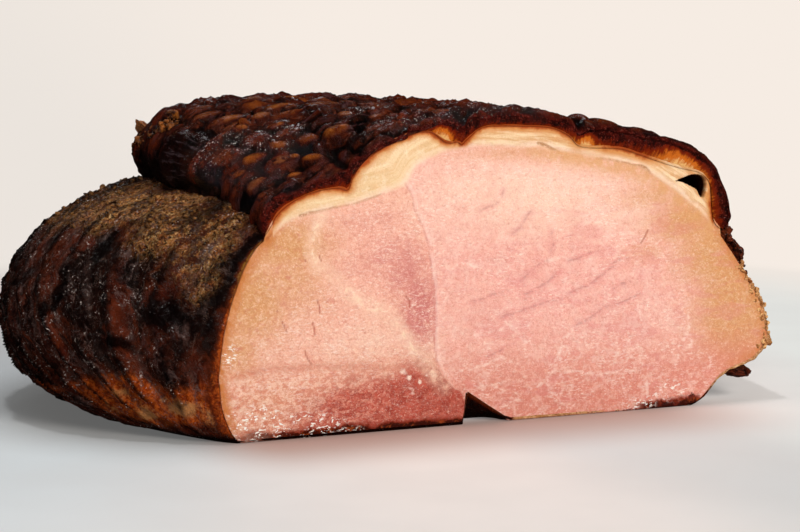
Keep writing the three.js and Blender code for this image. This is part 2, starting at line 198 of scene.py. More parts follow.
def scrambled(i, j, k, seed):
    """A repeatable number from 0 to 1 for each whole-number cell: the cell's numbers multiplied by large
    primes, joined by exclusive or, and mixed twice."""
    mixed = (i * 73856093) ^ (j * 19349663) ^ (k * 83492791) ^ (seed * 2654435761 + 97)
    mixed = ((mixed ^ (mixed >> 15)) * 2246822519) & 0xFFFFFFFF
    mixed = ((mixed ^ (mixed >> 13)) * 3266489917) & 0xFFFFFFFF
    return ((mixed ^ (mixed >> 16)) & 0xFFFFFF) / 0xFFFFFF


def swells(places, size, seed):
    """Smooth noise from -1 to 1 with one swell per size: random values at the corners of a lattice, blended
    by 3t^2 - 2t^3 along each axis. places is an array of points; size is one length or one per axis."""
    scaled = places / np.asarray(size, float)
    cell = np.floor(scaled).astype(np.int64)
    inside = scaled - cell
    ease = inside * inside * (3 - 2 * inside)
    total = 0
    for corner in np.ndindex(2, 2, 2):
        weight = np.prod(np.where(corner, ease, 1 - ease), axis=-1)
        total = total + weight * scrambled(*(cell[..., n] + corner[n] for n in range(3)), seed)
    return 2 * total - 1


def layered(places, size, seed, layers=4):
    """Sum of swells, each layer half the size and half the height of the one before."""
    return sum(swells(places, np.asarray(size, float) / 2**n, seed + n) / 2**n for n in range(layers)) / 1.6


def crowd(across, along, seed, jitter=0.75):
    """Crowded cells of about one unit each. For every place: the distance to the nearest centre, and a
    random number of its cell."""
    column, row = np.floor(across).astype(np.int64), np.floor(along).astype(np.int64)
    nearest = np.full(across.shape, 9.0)
    number = np.zeros(across.shape)
    for i in (-1, 0, 1):
        for j in (-1, 0, 1):
            x = column + i + 0.5 + jitter * (scrambled(column + i, row + j, 0, seed) - 0.5)
            y = row + j + 0.5 + jitter * (scrambled(column + i, row + j, 1, seed) - 0.5)
            distance = np.hypot(across - x, along - y)
            closer = distance < nearest
            number = np.where(closer, scrambled(column + i, row + j, 2, seed), number)
            nearest = np.where(closer, distance, nearest)
    return nearest, number


def ramp(value, start, end):
    """0 up to start, 1 from end, and 3t^2 - 2t^3 between."""
    t = np.clip((value - start) / (end - start), 0, 1)
    return t * t * (3 - 2 * t)


def within(value, start, full, still_full, end):
    """0 up to start, 1 from full to still_full, and 0 again from end, eased between."""
    return ramp(value, start, full) * ramp(value, end, still_full)


# ---------------------------------------------------------------- lines and sections


def smooth_line(marks, shares):
    """Catmull-Rom curve through marks in hundredths, in millimetres, at shares 0 to 1 of the way along the
    marks: 0.5 (2B + (C-A)u + (2A-5B+4C-D)u^2 + (3B-3C+D-A)u^3) between marks B and C."""
    points = np.array(marks, float) / 100 * [CUT_WIDTH, JOINT_HEIGHT]
    points = np.vstack([2 * points[0] - points[1], points, 2 * points[-1] - points[-2]])
    steps = np.asarray(shares, float) * (len(marks) - 1)
    first = np.clip(steps.astype(int), 0, len(marks) - 2)
    u = (steps - first)[..., None]
    a, b, c, d = (points[first + n] for n in range(4))
    return 0.5 * (2 * b + (c - a) * u + (2 * a - 5 * b + 4 * c - d) * u**2 + (3 * b - 3 * c + d - a) * u**3)


def even_shares(marks, count, weight=None):
    """Shares of a line that are evenly spaced along its length, or crowded where weight, a function of the
    points, is high: the running sum of step length times weight, read backwards."""
    fine = np.linspace(0, 1, 4001)
    points = smooth_line(marks, fine)
    steps = np.linalg.norm(np.diff(points, axis=0), axis=1)
    if weight is not None:
        steps = steps * weight(points[1:])
    run = np.concatenate([[0], np.cumsum(steps)])
    return np.interp(np.linspace(0, run[-1], count), run, fine)


def height_over(marks):
    """A function that gives a line's height, in millimetres, at each x, in millimetres."""
    points = smooth_line(marks, np.linspace(0, 1, 3001))
    order = np.argsort(points[:, 0], kind="stable")
    return lambda x: np.interp(x, points[order, 0], points[order, 1])


def stretches(marks, closed=False):
    """A smooth line through marks as straight stretches of about a third of the way between two marks."""
    if closed:
        marks = [*marks, marks[0]]
    line = smooth_line(marks, np.linspace(0, 1, 3 * (len(marks) - 1) + 1))
    return zip(line[:-1], line[1:])


def distance_to(marks, x, z):
    """Distance from each place on the cut to a line, with its sign: above 0 on the left-hand side for
    someone who walks along it, so above a line that runs to the right. The nearest stretch counts."""
    best = np.full(x.shape, 1e9)
    side = np.ones(x.shape)
    for (ax, az), (bx, bz) in stretches(marks):
        dx, dz = bx - ax, bz - az
        t = np.clip(((x - ax) * dx + (z - az) * dz) / (dx * dx + dz * dz), 0, 1)
        away = np.hypot(x - ax - t * dx, z - az - t * dz)
        closer = away < best
        best = np.where(closer, away, best)
        side = np.where(closer, np.sign((z - az) * dx - (x - ax) * dz), side)
    return best * side


def inside_of(marks, x, z):
    """Whether each place lies inside a closed line: an odd number of its stretches pass above the place."""
    crossings = np.zeros(x.shape, int)
    for (ax, az), (bx, bz) in stretches(marks, closed=True):
        spans = (ax > x) != (bx > x)
        crossings += spans & (az + (x - ax) / np.where(spans, bx - ax, 1) * (bz - az) > z)
    return crossings % 2 == 1


def nearest_stroke(strokes, x, z):
    """Distance to the nearest of several thin lines."""
    return np.min([np.abs(distance_to(stroke, x, z)) for stroke in strokes], axis=0)


def patches(marks, u, v):
    """Soft patches, the strongest of which counts: each mark has a centre, two half-widths and a strength,
    and fades as exp(-r^2)."""
    shares = [strength * np.exp(-((u - cu) / wide) ** 2 - ((v - cv) / tall) ** 2)
              for cu, cv, wide, tall, strength in marks]
    return np.max(shares, axis=0)


def rounded(depth, start, end, squareness):
    """Share of a section that is left at a depth: 1 up to start, then (1 - t^s)^(1/s) down to 0 at end."""
    t = np.clip((depth - start) / (end - start), 0, 1)
    return (1 - t**squareness) ** (1 / squareness)


def rounded_depths(start, end, squareness, reach, count):
    """Depths evenly spaced along the outline of such a rounded end, whose section reaches that far out from
    its middle."""
    t = np.sin(np.linspace(0, math.pi / 2, 2001)) ** (2 / squareness)
    outline = np.stack([(end - start) * t, reach * (1 - t**squareness) ** (1 / squareness)], axis=-1)
    run = np.concatenate([[0], np.cumsum(np.linalg.norm(np.diff(outline, axis=0), axis=1))])
    return start + np.interp(np.linspace(0, run[-1], count), run, outline[:, 0])


# ---------------------------------------------------------------- meshes


def lofted(rings, depths):
    """Rings of [x, z] stood up one behind another, each at its depth, as points [x, y, z]."""
    return np.stack([rings[..., 0], np.repeat(depths[:, None], rings.shape[1], 1), rings[..., 1]], axis=-1)


def facing(grid, wrapped):
    """Unit normals of a grid of points: the cross product of its differences along rows and columns."""
    down = np.gradient(grid, axis=0)
    if wrapped:
        along = (np.roll(grid, -1, axis=1) - np.roll(grid, 1, axis=1)) / 2
    else:
        along = np.gradient(grid, axis=1)
    normal = np.cross(along, down)
    return normal / np.maximum(np.linalg.norm(normal, axis=-1, keepdims=True), 1e-9)


def grid_faces(rows, columns, wrapped, first=0):
    """Four-cornered faces between neighbouring rows of a grid whose points are numbered row by row."""
    number = first + np.arange(rows * columns).reshape(rows, columns)
    ahead = np.roll(number, -1, axis=1) if wrapped else number[:, 1:]
    here = number if wrapped else number[:, :-1]
    return np.stack([here[:-1], ahead[:-1], ahead[1:], here[1:]], axis=-1).reshape(-1, 4)


def placed(points):
    """Millimetres from the cut's left-hand end into metres in the frame."""
    return (points + [CUT_LEFT, CUT_PLANE, 0]) * MM


def make_piece(name, points, faces, finish, fields=None):
    """A mesh object from points in millimetres and faces, smooth shaded, with one float attribute per
    field. It rides on the only body and stands for the joint's node."""
    mesh = bpy.data.meshes.new(name)
    mesh.from_pydata(placed(points).tolist(), [], [face.tolist() for group in faces for face in group])
    mesh.polygons.foreach_set("use_smooth", np.ones(len(mesh.polygons), bool))
    for field, values in (fields or {}).items():
        attribute = mesh.attributes.new(field, "FLOAT", "POINT")
        attribute.data.foreach_set("value", np.asarray(values, np.float32).ravel())
    mesh.materials.append(finish)
    mesh.validate()
    piece = bpy.data.objects.new(name, mesh)
    bpy.context.scene.collection.objects.link(piece)
    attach(piece, "root")
    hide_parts(NODE)


# ---------------------------------------------------------------- material nodes


def tint(code):
    """A hex colour as it looks on a screen, turned into the light values that shaders use."""
    channels = [int(code[n:n + 2], 16) / 255 for n in (1, 3, 5)]
    return [c / 12.92 if c <= 0.04045 else ((c + 0.055) / 1.055) ** 2.4 for c in channels] + [1.0]


class Finish:
    """A material being built. Each method adds a node and returns the socket with its result; places are
    the piece's own coordinates in millimetres."""

    def __init__(self, name):
        self.material = bpy.data.materials.new(name)
        self.material.use_nodes = True
        self.nodes = self.material.node_tree.nodes
        self.links = self.material.node_tree.links
        self.shader = self.nodes["Principled BSDF"]
        coordinates = self.nodes.new("ShaderNodeTexCoord")
        scale = self.add("ShaderNodeVectorMath", operation="SCALE")
        self.links.new(coordinates.outputs["Object"], scale.inputs[0])
        scale.inputs["Scale"].default_value = 1 / MM
        self.place = scale.outputs[0]

    def add(self, kind, **settings):
        node = self.nodes.new(kind)
        for key, value in settings.items():
            setattr(node, key, value)
        return node

    def feed(self, socket, value):
        if isinstance(value, bpy.types.NodeSocket):
            self.links.new(value, socket)
        else:
            socket.default_value = value

    def field(self, name):
        return self.add("ShaderNodeAttribute", attribute_name=name).outputs["Fac"]

    def fields(self, *names):
        """Several of the piece's attributes, under their own names."""
        return SimpleNamespace(**{name: self.field(name) for name in names})

    def axis(self, letter):
        node = self.add("ShaderNodeSeparateXYZ")
        self.links.new(self.place, node.inputs[0])
        return node.outputs[letter]

    def stretched(self, factors, turn):
        """Places for a pattern that is turned, and drawn out by a factor along each axis."""
        node = self.add("ShaderNodeMapping")
        self.links.new(self.place, node.inputs["Vector"])
        node.inputs["Rotation"].default_value = [math.radians(angle) for angle in turn]
        node.inputs["Scale"].default_value = [1 / factor for factor in factors]
        return node.outputs[0]

    def places(self, *parts):
        """Places for a pattern that follows the piece: each part is a value and the pattern's size along it."""
        node = self.add("ShaderNodeCombineXYZ")
        for socket, (value, size) in zip(node.inputs, parts):
            self.feed(socket, self.math("DIVIDE", value, size))
        return node.outputs[0]

    def warped(self, amount, size):
        """The place shifted by a noise, by up to about the amount, so that patterns on it wander."""
        noise = self.add("ShaderNodeTexNoise")
        self.links.new(self.place, noise.inputs["Vector"])
        noise.inputs["Scale"].default_value = 1 / size
        shift = self.add("ShaderNodeVectorMath", operation="MULTIPLY_ADD")
        self.links.new(noise.outputs["Color"], shift.inputs[0])
        shift.inputs[1].default_value = [2 * amount] * 3
        self.links.new(self.place, shift.inputs[2])
        return shift.outputs[0]

    def noise(self, size, detail=3, rough=0.55, twist=0, at=None):
        node = self.add("ShaderNodeTexNoise")
        self.links.new(at or self.place, node.inputs["Vector"])
        node.inputs["Scale"].default_value = 1 / size
        node.inputs["Detail"].default_value = detail
        node.inputs["Roughness"].default_value = rough
        node.inputs["Distortion"].default_value = twist
        return node.outputs["Fac"]

    def cell_edges(self, size, at):
        """Distance to the border between crowded cells, in cells."""
        node = self.add("ShaderNodeTexVoronoi", feature="DISTANCE_TO_EDGE")
        self.links.new(at, node.inputs["Vector"])
        node.inputs["Scale"].default_value = 1 / size
        return node.outputs["Distance"]

    def math(self, operation, *terms):
        node = self.add("ShaderNodeMath", operation=operation)
        for socket, term in zip(node.inputs, terms):
            self.feed(socket, term)
        return node.outputs[0]

    def times(self, *shares):
        product = shares[0]
        for share in shares[1:]:
            product = self.math("MULTIPLY", product, share)
        return product

    def total(self, *parts, offset=0.0):
        """The offset plus each part's value times its factor."""
        result = offset
        for value, factor in parts:
            result = self.math("MULTIPLY_ADD", value, factor, result)
        return result

    def band(self, value, start, end, low=0.0, high=1.0):
        """From low at start to high at end, eased at both."""
        node = self.add("ShaderNodeMapRange", interpolation_type="SMOOTHSTEP")
        self.feed(node.inputs["Value"], value)
        for key, number in {"From Min": start, "From Max": end, "To Min": low, "To Max": high}.items():
            node.inputs[key].default_value = number
        return node.outputs[0]

    def broken(self, share, noise, start=0.4, end=0.75, ragged=1.3):
        """A soft patch with a ragged outline: it shows where its strength plus noise passes a threshold."""
        level = self.math("MULTIPLY_ADD", noise, ragged, share)
        return self.band(level, start + ragged / 2, end + ragged / 2)

    def ridge(self, value, thin):
        """Thin lines where a noise crosses its middle: 1 on the line and 0 from a small difference on."""
        return self.band(self.math("ABSOLUTE", self.math("SUBTRACT", value, 0.5)), thin, thin * 0.2)

    def mix(self, share, first, second):
        node = self.add("ShaderNodeMix", data_type="RGBA")
        self.feed(node.inputs["Factor"], share)
        self.feed(node.inputs["A"], tint(first) if isinstance(first, str) else first)
        self.feed(node.inputs["B"], tint(second) if isinstance(second, str) else second)
        return node.outputs["Result"]

    def coats(self, ground, *coats):
        """A ground colour under coats of (share, colour), each laid over the ones before it."""
        for share, coat in coats:
            ground = self.mix(share, ground, coat)
        return ground

    def bump(self, height, depth, after=None):
        node = self.add("ShaderNodeBump")
        node.inputs["Distance"].default_value = depth * MM
        self.feed(node.inputs["Height"], height)
        if after is not None:
            self.links.new(after, node.inputs["Normal"])
        return node.outputs[0]

    def blend_shaders(self, share, first, second):
        node = self.add("ShaderNodeMixShader")
        self.feed(node.inputs[0], share)
        self.links.new(first, node.inputs[1])
        self.links.new(second, node.inputs[2])
        return node.outputs[0]

    def glowing(self, colour):
        node = self.add("ShaderNodeEmission")
        self.feed(node.inputs["Color"], tint(colour) if isinstance(colour, str) else colour)
        return node.outputs[0]

    def finish(self, colour, roughness, normal=None, **fixed):
        self.feed(self.shader.inputs["Base Color"], colour)
        self.feed(self.shader.inputs["Roughness"], roughness)
        if normal is not None:
            self.links.new(normal, self.shader.inputs["Normal"])
        for key, value in fixed.items():
            self.feed(self.shader.inputs[key.replace("_", " ")], value)
        return self.material


# ---------------------------------------------------------------- finish of the cut face


def cut_patterns(f):
    """Fields and noises that several coats of the cut face share. right and left are the two muscles, low is
    the red meat along the underside, and crease the narrow grey lines."""
    p = f.fields("fat", "rind", "seam", "edge", "across", "up", "tan", "grey", "thin")
    p.blotch = f.noise(9, 4, 0.6, 0.4)
    p.patch = f.noise(3.5, 4, 0.65, 0.4)
    p.grain = f.noise(1.2, 4, 0.7, 0.5, at=f.stretched((1.1, 1, 0.9), (0, 20, 0)))
    p.coarse = f.noise(2.2, 4, 0.7, 0.5, at=f.stretched((1.3, 1, 0.9), (0, 25, 0)))
    p.fine = f.noise(0.5, 2, 0.7)
    p.right = f.band(p.seam, -0.6, 0.6)
    p.left = f.math("SUBTRACT", 1.0, p.right)
    p.low = f.broken(f.field("red"), p.blotch, 0.1, 0.7, 0.6)
    p.crease = f.times(f.band(p.grey, 0.6, 0.1), f.band(p.patch, 0.38, 0.6))
    return p


def meat_tints(f, p):
    """Coats of the broad tints: pink, rosy, pale, tan, deep pink and red."""
    return [
        (p.right, "#efb3a3"),
        (f.times(f.field("rosy"), f.band(p.blotch, 0.3, 0.6, 0.6, 1)), "#eea99f"),
        (f.times(f.field("pale"), f.band(p.blotch, 0.2, 0.6, 0.6, 1)), "#f7ceb8"),
        (f.broken(p.tan, p.patch, 0.05, 1.0, 0.4), "#d69a64"),
        (f.times(f.broken(f.field("deep"), p.patch, 0.0, 1.0, 0.6), 0.95), "#cc7672"),
        (f.times(f.band(p.up, 32, 8), 0.85), f.mix(p.right, "#d98a6e", "#d8806e")),
        (p.low, f.mix(f.band(p.patch, 0.35, 0.65), "#9c3226", "#bd5040")),
    ]


def meat_grain(f, p):
    """Coats of light fibres with darker gaps, a fine sparkle of painted glints, moist flecks, and slabs of a
    deeper pink on the right.
    """
    fibres = f.times(f.band(p.grain, 0.48, 0.66),
                     f.total((p.left, f.band(p.up, 50, 8, 0.15, 0.5)), offset=0.25))
    thick = f.times(f.band(p.coarse, 0.48, 0.6), f.band(p.up, 36, 14), p.left, 0.65)
    on_red = f.band(f.times(p.low, f.band(p.across, 40, 66)), 0, 1, 1, 0.45)
    fibres = f.times(f.math("MAXIMUM", fibres, thick), on_red)
    flecks = f.noise(0.75, 3, 0.65, 0.4, at=f.stretched((2.0, 1, 0.7), (0, -42, 0)))
    flecks = f.times(f.band(flecks, 0.54, 0.64), f.band(p.blotch, 0.36, 0.6, 0.15, 1), 0.55)
    flecks = f.times(flecks, f.band(p.low, 0, 1, 1, 0.3), f.band(p.tan, 0.2, 0.7, 1, 0.3))
    slabs = f.noise(6.5, 3, 0.6, 0.5, at=f.stretched((2.2, 1, 0.8), (0, -18, 0)))
    return [
        (fibres, f.mix(p.low, "#fad6bf", "#e59a84")),
        (f.band(p.grain, 0.47, 0.32, 0, 0.35), "#cc7b68"),
        (f.times(f.band(p.coarse, 0.46, 0.34), f.total((p.left, 0.3), offset=0.15)), "#d07a68"),
        (f.band(p.fine, 0.5, 0.35, 0, 0.16), "#b96a52"),
        # painted highlight: a fine sparkle of near-white glints
        (f.times(f.band(p.fine, 0.56, 0.66), f.band(p.coarse, 0.4, 0.6, 0.2, 1), 0.4), "#fde6d6"),
        (flecks, "#fee9dd"),
        (f.times(f.band(slabs, 0.5, 0.36), f.band(p.up, 80, 60), p.right, 0.3), "#db8684"),
    ]


def meat_veins(f, p):
    """Coats of veins and a lacy web on the right-hand muscle, and of the broad pale seam on the left."""
    pale = f.field("pale_seam")
    lace = f.cell_edges(5, f.warped(3.5, 4))
    veins = f.cell_edges(15, f.warped(7, 9))
    veins = f.times(f.band(veins, 0.05, 0.005), f.band(p.blotch, 0.45, 0.65), f.band(p.up, 56, 36), 0.25)
    web = f.times(f.band(lace, 0.22, 0.02), f.band(p.patch, 0.42, 0.6), f.band(p.tan, 0.6, 0.2), 0.32)
    sinew = f.times(f.band(pale, 1.2, 0.1), f.band(p.coarse, 0.42, 0.6), f.band(p.patch, 0.4, 0.6), 0.7)
    return [
        (f.times(f.math("MAXIMUM", veins, web), p.right), "#fbd9cb"),
        (f.times(f.band(lace, 0.25, 0.55), f.band(p.patch, 0.6, 0.4), p.right, 0.2), "#e0857a"),
        (f.times(f.band(pale, 4.2, 0.5), f.band(p.patch, 0.35, 0.65, 0.2, 0.65)), "#f7d2b8"),
        (sinew, "#fbe2c6"),
    ]


def meat_lines(f, p):
    """Coats of single marks: white threads and spots, faint, grey and dark lines, and the main seam, which
    is dark with a pale line beside it."""
    line = f.band(f.math("ABSOLUTE", p.seam), 0.6, 0.1)
    beside = f.band(f.math("ABSOLUTE", f.math("SUBTRACT", p.seam, 1.0)), 0.9, 0.2)
    return [
        (f.times(f.band(f.field("thread"), 1.0, 0.05), f.band(p.coarse, 0.42, 0.6, 0.0, 0.55)), "#fde3d6"),
        (f.times(f.band(f.field("spot"), 0.5, 0.9), f.band(p.grain, 0.35, 0.55)), "#fbe3d2"),
        (f.times(f.band(f.field("faint"), 2.2, 0.2), f.band(p.coarse, 0.35, 0.6, 0.0, 0.5)), "#c47058"),
        (f.times(f.band(p.grey, 2.0, 0.2), f.band(p.patch, 0.3, 0.6), 0.4), "#d98a86"),
        (f.times(p.crease, 0.3), "#b4726c"),
        (f.times(f.band(f.field("slit"), 0.5, 0.15), f.band(p.fine, 0.3, 0.5, 0.3, 0.7)), "#b25a44"),
        (f.times(beside, f.band(p.patch, 0.35, 0.6, 0.0, 0.4), f.band(p.up, 8, 20)), "#fcdcd0"),
        (f.times(line, f.band(p.patch, 0.35, 0.65, 0.05, 0.4)), "#c77f74"),
    ]


def browned_rim(f, p):
    """Coats of browning: along the edge beside the crust, charred and stained along the underside, and tan
    under the fat on the right."""
    rim, charred = f.field("rim"), f.field("charred")
    underside = f.total((p.blotch, -5.0), (p.grain, -2.0), (p.up, 1.0))
    under_fat = f.times(f.band(p.fat, -8, -1), f.band(p.across, 90, 120),
                        f.band(p.patch, 0.35, 0.6, 0.35, 0.85))
    return [
        (f.times(f.band(p.edge, 4.6, 0.6), rim, f.band(p.patch, 0.3, 0.6, 0.4, 1)), "#c87a3e"),
        (f.times(f.band(p.edge, 0.8, 0.1), rim, f.band(p.patch, 0.4, 0.6, 0.1, 0.6)), "#a04c1c"),
        (f.times(f.band(underside, 0.4, -1.4), charred), "#842c1a"),
        (f.times(f.band(underside, -0.9, -1.8), charred),
         f.mix(f.band(p.patch, 0.54, 0.64), "#3c0f06", "#8c3c16")),
        (f.broken(f.field("stain"), p.grain, 0.5, 0.62, 1.4),
         f.mix(f.band(p.patch, 0.45, 0.6), "#3a100a", "#7a2a1a")),
        (under_fat, "#d99f68"),
    ]


def layered_fat(f, p):
    """Cream fat in thin strata, browner to the right, pale beside the meat and scorched beside the rind."""
    strata = f.noise(1, 5, 0.65, at=f.places((p.across, 18.0), (p.fat, 1.8)))
    scorch = f.math("DIVIDE", p.rind, f.total((p.thin, 2.0), offset=1.0))
    scorch = f.total((p.patch, -2.6), (p.thin, 2.4), (scorch, 1.0))
    return f.coats(
        f.mix(f.band(p.across, 75, 100), "#e5bc8c", "#dcab79"),
        (f.band(strata, 0.36, 0.66), "#f2d5ad"),
        (f.band(p.patch, 0.5, 0.7, 0, 0.5), "#f9e5ca"),
        (f.band(p.fine, 0.5, 0.35, 0, 0.2), "#c8925a"),
        (f.times(f.band(p.across, 60, 110), f.band(strata, 0.6, 0.4), 0.5), "#c98a50"),
        (f.times(f.band(p.fat, 2.6, 0.4), f.band(p.patch, 0.3, 0.6, 0.2, 0.9)), "#f7d9c0"),
        (f.times(f.band(f.field("layer"), 0.9, 0.15), f.band(p.grain, 0.35, 0.55, 0.2, 0.85)), "#a8692a"),
        (f.band(scorch, 1.8, -0.8), "#d18a4a"),
        (f.band(scorch, 0.0, -1.2), "#a24512"),
    )


def cut_face_finish():
    """Moist pink meat with a fine grain, a thin seam and pale veins, and layered cream fat above it, with white
    glints painted where it is wet.
    """
    f = Finish("moist pork and fat")
    p = cut_patterns(f)
    wet = f.field("wet")
    glints = f.noise(1.1, 2, 0.6, 0.6, at=f.stretched((1.4, 1, 0.7), (0, 15, 0)))
    glint_clusters = f.band(f.noise(2.8, 3, 0.6), 0.45, 0.55)
    colour = f.coats(
        "#eeb29c",
        *meat_tints(f, p), *meat_grain(f, p), *meat_veins(f, p), *meat_lines(f, p), *browned_rim(f, p),
        (f.band(p.fat, -1.0, 1.0), layered_fat(f, p)),
        # painted shade: the pocket's pit is coloured near-black red
        (f.band(f.field("pit"), 0.2, 2.5), "#2a0703"),
        # painted highlight: white glints in clusters where the meat is wet
        (f.times(f.band(glints, 0.53, 0.58), glint_clusters, f.band(wet, 0.2, 0.7, 0.0, 0.95)), "#fffaf2"),
    )
    relief = f.total((p.grain, 0.6), (p.fine, 0.45), (p.crease, -0.3))
    return f.finish(colour, f.band(wet, 0.1, 0.8, 0.4, 0.16), f.bump(relief, 0.45),
                    Subsurface_Weight=0.1, Subsurface_Scale=0.0012, Specular_IOR_Level=0.4)


# ---------------------------------------------------------------- finish of the browned crust


def crust_patterns(f):
    """Fields and noises that several coats of the browned side share. Strands, threads, straps and seams run
    along the folds."""
    p = f.fields("depth", "up")
    p.wide = f.noise(9, 5, 0.65, 0.6)
    p.small = f.noise(2.8, 5, 0.7, 0.5)
    p.crumb = f.noise(1.5, 4, 0.75, 0.6)
    p.fine = f.noise(0.8, 3, 0.65)
    fan = f.total((f.field("fan"), 60.0), (p.wide, 8.0))
    folds = f.places((fan, 1.0), (p.up, 5.0), (p.depth, 9.0))
    p.strands = f.noise(2.6, 4, 0.65, 0.5, at=folds)
    p.threads = f.ridge(f.noise(2.2, 3, 0.6, 0.8, at=folds), 0.014)
    p.straps = f.noise(6.5, 2, 0.5, 0.5, at=folds)
    p.seams = f.ridge(f.noise(5.5, 2, 0.5, 1.0, at=folds), 0.02)
    p.tan = f.broken(f.field("tan"), p.small, 0.15, 0.95)
    return p


def dark_glaze(f, p):
    """Coats of red-brown straps and strands over near-black, with painted grey-mauve sheen on the strands'
    crests and black between the straps.
    """
    strap = f.times(f.band(p.straps, 0.46, 0.6), f.band(p.small, 0.3, 0.55, 0.35, 1))
    return [
        (f.band(p.small, 0.38, 0.62), "#38150a"),
        (strap, f.mix(f.band(p.strands, 0.42, 0.6), "#40150b", "#6c2b14")),
        (f.times(f.band(p.wide, 0.42, 0.6), f.band(p.strands, 0.4, 0.62)), "#5a2410"),
        (f.times(f.broken(f.field("ruddy"), p.strands, 0.45, 1.0), 0.75), "#5c2412"),
        # painted sheen: grey-mauve on the raised crests of the strands
        (f.times(f.band(p.strands, 0.52, 0.66), f.band(p.small, 0.35, 0.6, 0.1, 0.7)), "#3a2525"),
        (f.band(p.straps, 0.44, 0.36, 0, 0.8), "#0a0403"),
    ]


def shoulder_tan(f, p):
    """Tan and straw crumbs with rusty and near-black gaps, for the shoulder."""
    return f.coats(
        "#2c1008",
        (f.band(p.crumb, 0.4, 0.56), "#b87a40"),
        (f.band(p.fine, 0.5, 0.64, 0, 0.9), "#edc184"),
        (f.band(p.small, 0.47, 0.56, 0, 0.8), f.mix(f.band(p.fine, 0.45, 0.6), "#3c1408", "#9a4c14")),
        (f.band(p.wide, 0.52, 0.6, 0, 0.7), "#1a0905"),
    )


def crust_patches(f, p):
    """Coats of single patches: tan, rust and buff, then a stretched film on the fold crests, painted grey-mauve
    as sheen, with pale threads, painted shade in the hollows, painted glints as bright specks, and black."""
    rust = f.field("rust")
    rusty = f.times(f.broken(rust, p.strands, 0.05, 0.5, 0.8), f.band(rust, 0.02, 0.2))
    # painted highlight: bright glint specks in clusters
    specks = f.times(f.band(f.noise(0.7, 2, 0.6), 0.6, 0.65), f.band(p.small, 0.5, 0.6),
                     f.band(p.strands, 0.42, 0.52), f.band(p.wide, 0.36, 0.5), f.band(p.depth, 3, 7), 0.85)
    return [
        (f.times(p.tan, f.band(p.strands, 0.38, 0.52, 0.15, 1)), shoulder_tan(f, p)),
        (rusty, f.mix(f.band(p.crumb, 0.38, 0.64), "#762606", "#bb561c")),
        (f.times(f.broken(f.field("buff"), p.crumb, 0.2, 0.8), 0.8), "#bd8450"),
        # painted sheen: grey-mauve film on the fold crests
        (f.times(f.field("film_and_sheen"), f.band(p.small, 0.35, 0.6, 0.1, 0.8)), "#4c3833"),
        (f.times(p.threads, f.band(p.wide, 0.42, 0.58, 0.05, 0.6)), "#6e564c"),
        (f.times(p.seams, f.band(p.small, 0.35, 0.6, 0.05, 0.5), f.band(p.tan, 0.6, 0.1)), "#6a5652"),
        # painted shade: near-black in the hollows of the relief
        (f.band(f.field("shade_in_hollows"), 0.05, 0.8, 0, 0.92), "#060202"),
        (specks, "#d2c4bc"),
        (f.times(f.broken(f.field("black"), p.strands, 0.4, 0.8), 0.95), "#040101"),
    ]


def crust_borders(f, p):
    """Coats of orange-brown beside the cut, buff on the right-hand end, and dark as painted shade where it meets
    the table and in the gap under the seam."""
    baked = f.field("baked")
    ragged = f.total((p.small, 4.0), (p.depth, f.band(p.up, 44, 18, 2.4, 0.9)),
                     (f.band(p.up, 40, 12, 0.5, -0.5), 1.0))
    orange = f.mix(f.band(p.up, 40, 55), f.mix(f.band(p.crumb, 0.4, 0.62), "#7c2a0d", "#b0521e"), "#8a5a24")
    left = f.band(f.axis("X"), 10, -20)
    buff = f.coats("#c08552", (f.band(p.crumb, 0.4, 0.62), "#e3b183"),
                   (f.band(p.fine, 0.56, 0.66, 0, 0.8), "#7a3a16"))
    return [
        (f.band(ragged, 3.6, 2.2), "#56200c"),
        (f.times(f.band(ragged, 2.5, 1.7), f.band(p.crumb, 0.36, 0.5, 0.35, 1), left), orange),
        (f.broken(baked, p.small, 0.3, 0.8), buff),
        # painted shade: near-black in the lowest few millimetres, where the crust meets the table
        (f.times(f.band(p.up, 4, 1), f.band(baked, 0.3, 0)), "#120503"),
        # painted shade: dark on the wall of the gap under the seam
        (f.times(f.field("notch_shade"), f.band(p.small, 0.3, 0.6, 0.7, 1)), "#190705"),
    ]


def crust_finish():
    """Browned side: near-black film over red-brown, tan crumbs on the shoulder, orange-brown low down, and
    wet only in patches."""
    f = Finish("browned crust")
    p = crust_patterns(f)
    colour = f.coats("#120504", *dark_glaze(f, p), *crust_patches(f, p), *crust_borders(f, p))
    relief = f.total((p.strands, 1.0), (p.fine, 0.45), (p.crumb, 0.9), (p.threads, 0.25))
    rough = f.math("MAXIMUM", f.band(p.small, 0.35, 0.65, 0.12, 0.3), f.times(p.tan, 0.5))
    wet = f.band(f.noise(1.8, 3, 0.65), 0.5, 0.62, 0.08, 0.8)
    return f.finish(colour, rough, f.bump(relief, 1.2), Specular_IOR_Level=wet)


# ---------------------------------------------------------------- finish of the rind


def rind_patterns(f):
    """Fields and noises that several coats of the rind share. Streaks run along its ridges, and wrinkles
    backwards over its smooth fold."""
    p = f.fields("height", "crease", "band", "fold", "across", "wet")
    p.wide = f.noise(8, 4, 0.6, 0.5)
    p.small = f.noise(2.4, 4, 0.65, 0.5)
    p.fine = f.noise(0.8, 3, 0.65)
    p.specks = f.noise(0.5, 2, 0.6)
    p.streak = f.noise(1.0, 4, 0.65, 0.5, at=f.places((f.field("along"), 7.0), (f.field("aside"), 1.5)))
    p.wrinkles = f.noise(1.0, 3, 0.6, 0.5, at=f.places((p.across, 1.8), (f.field("depth"), 9.0)))
    return p


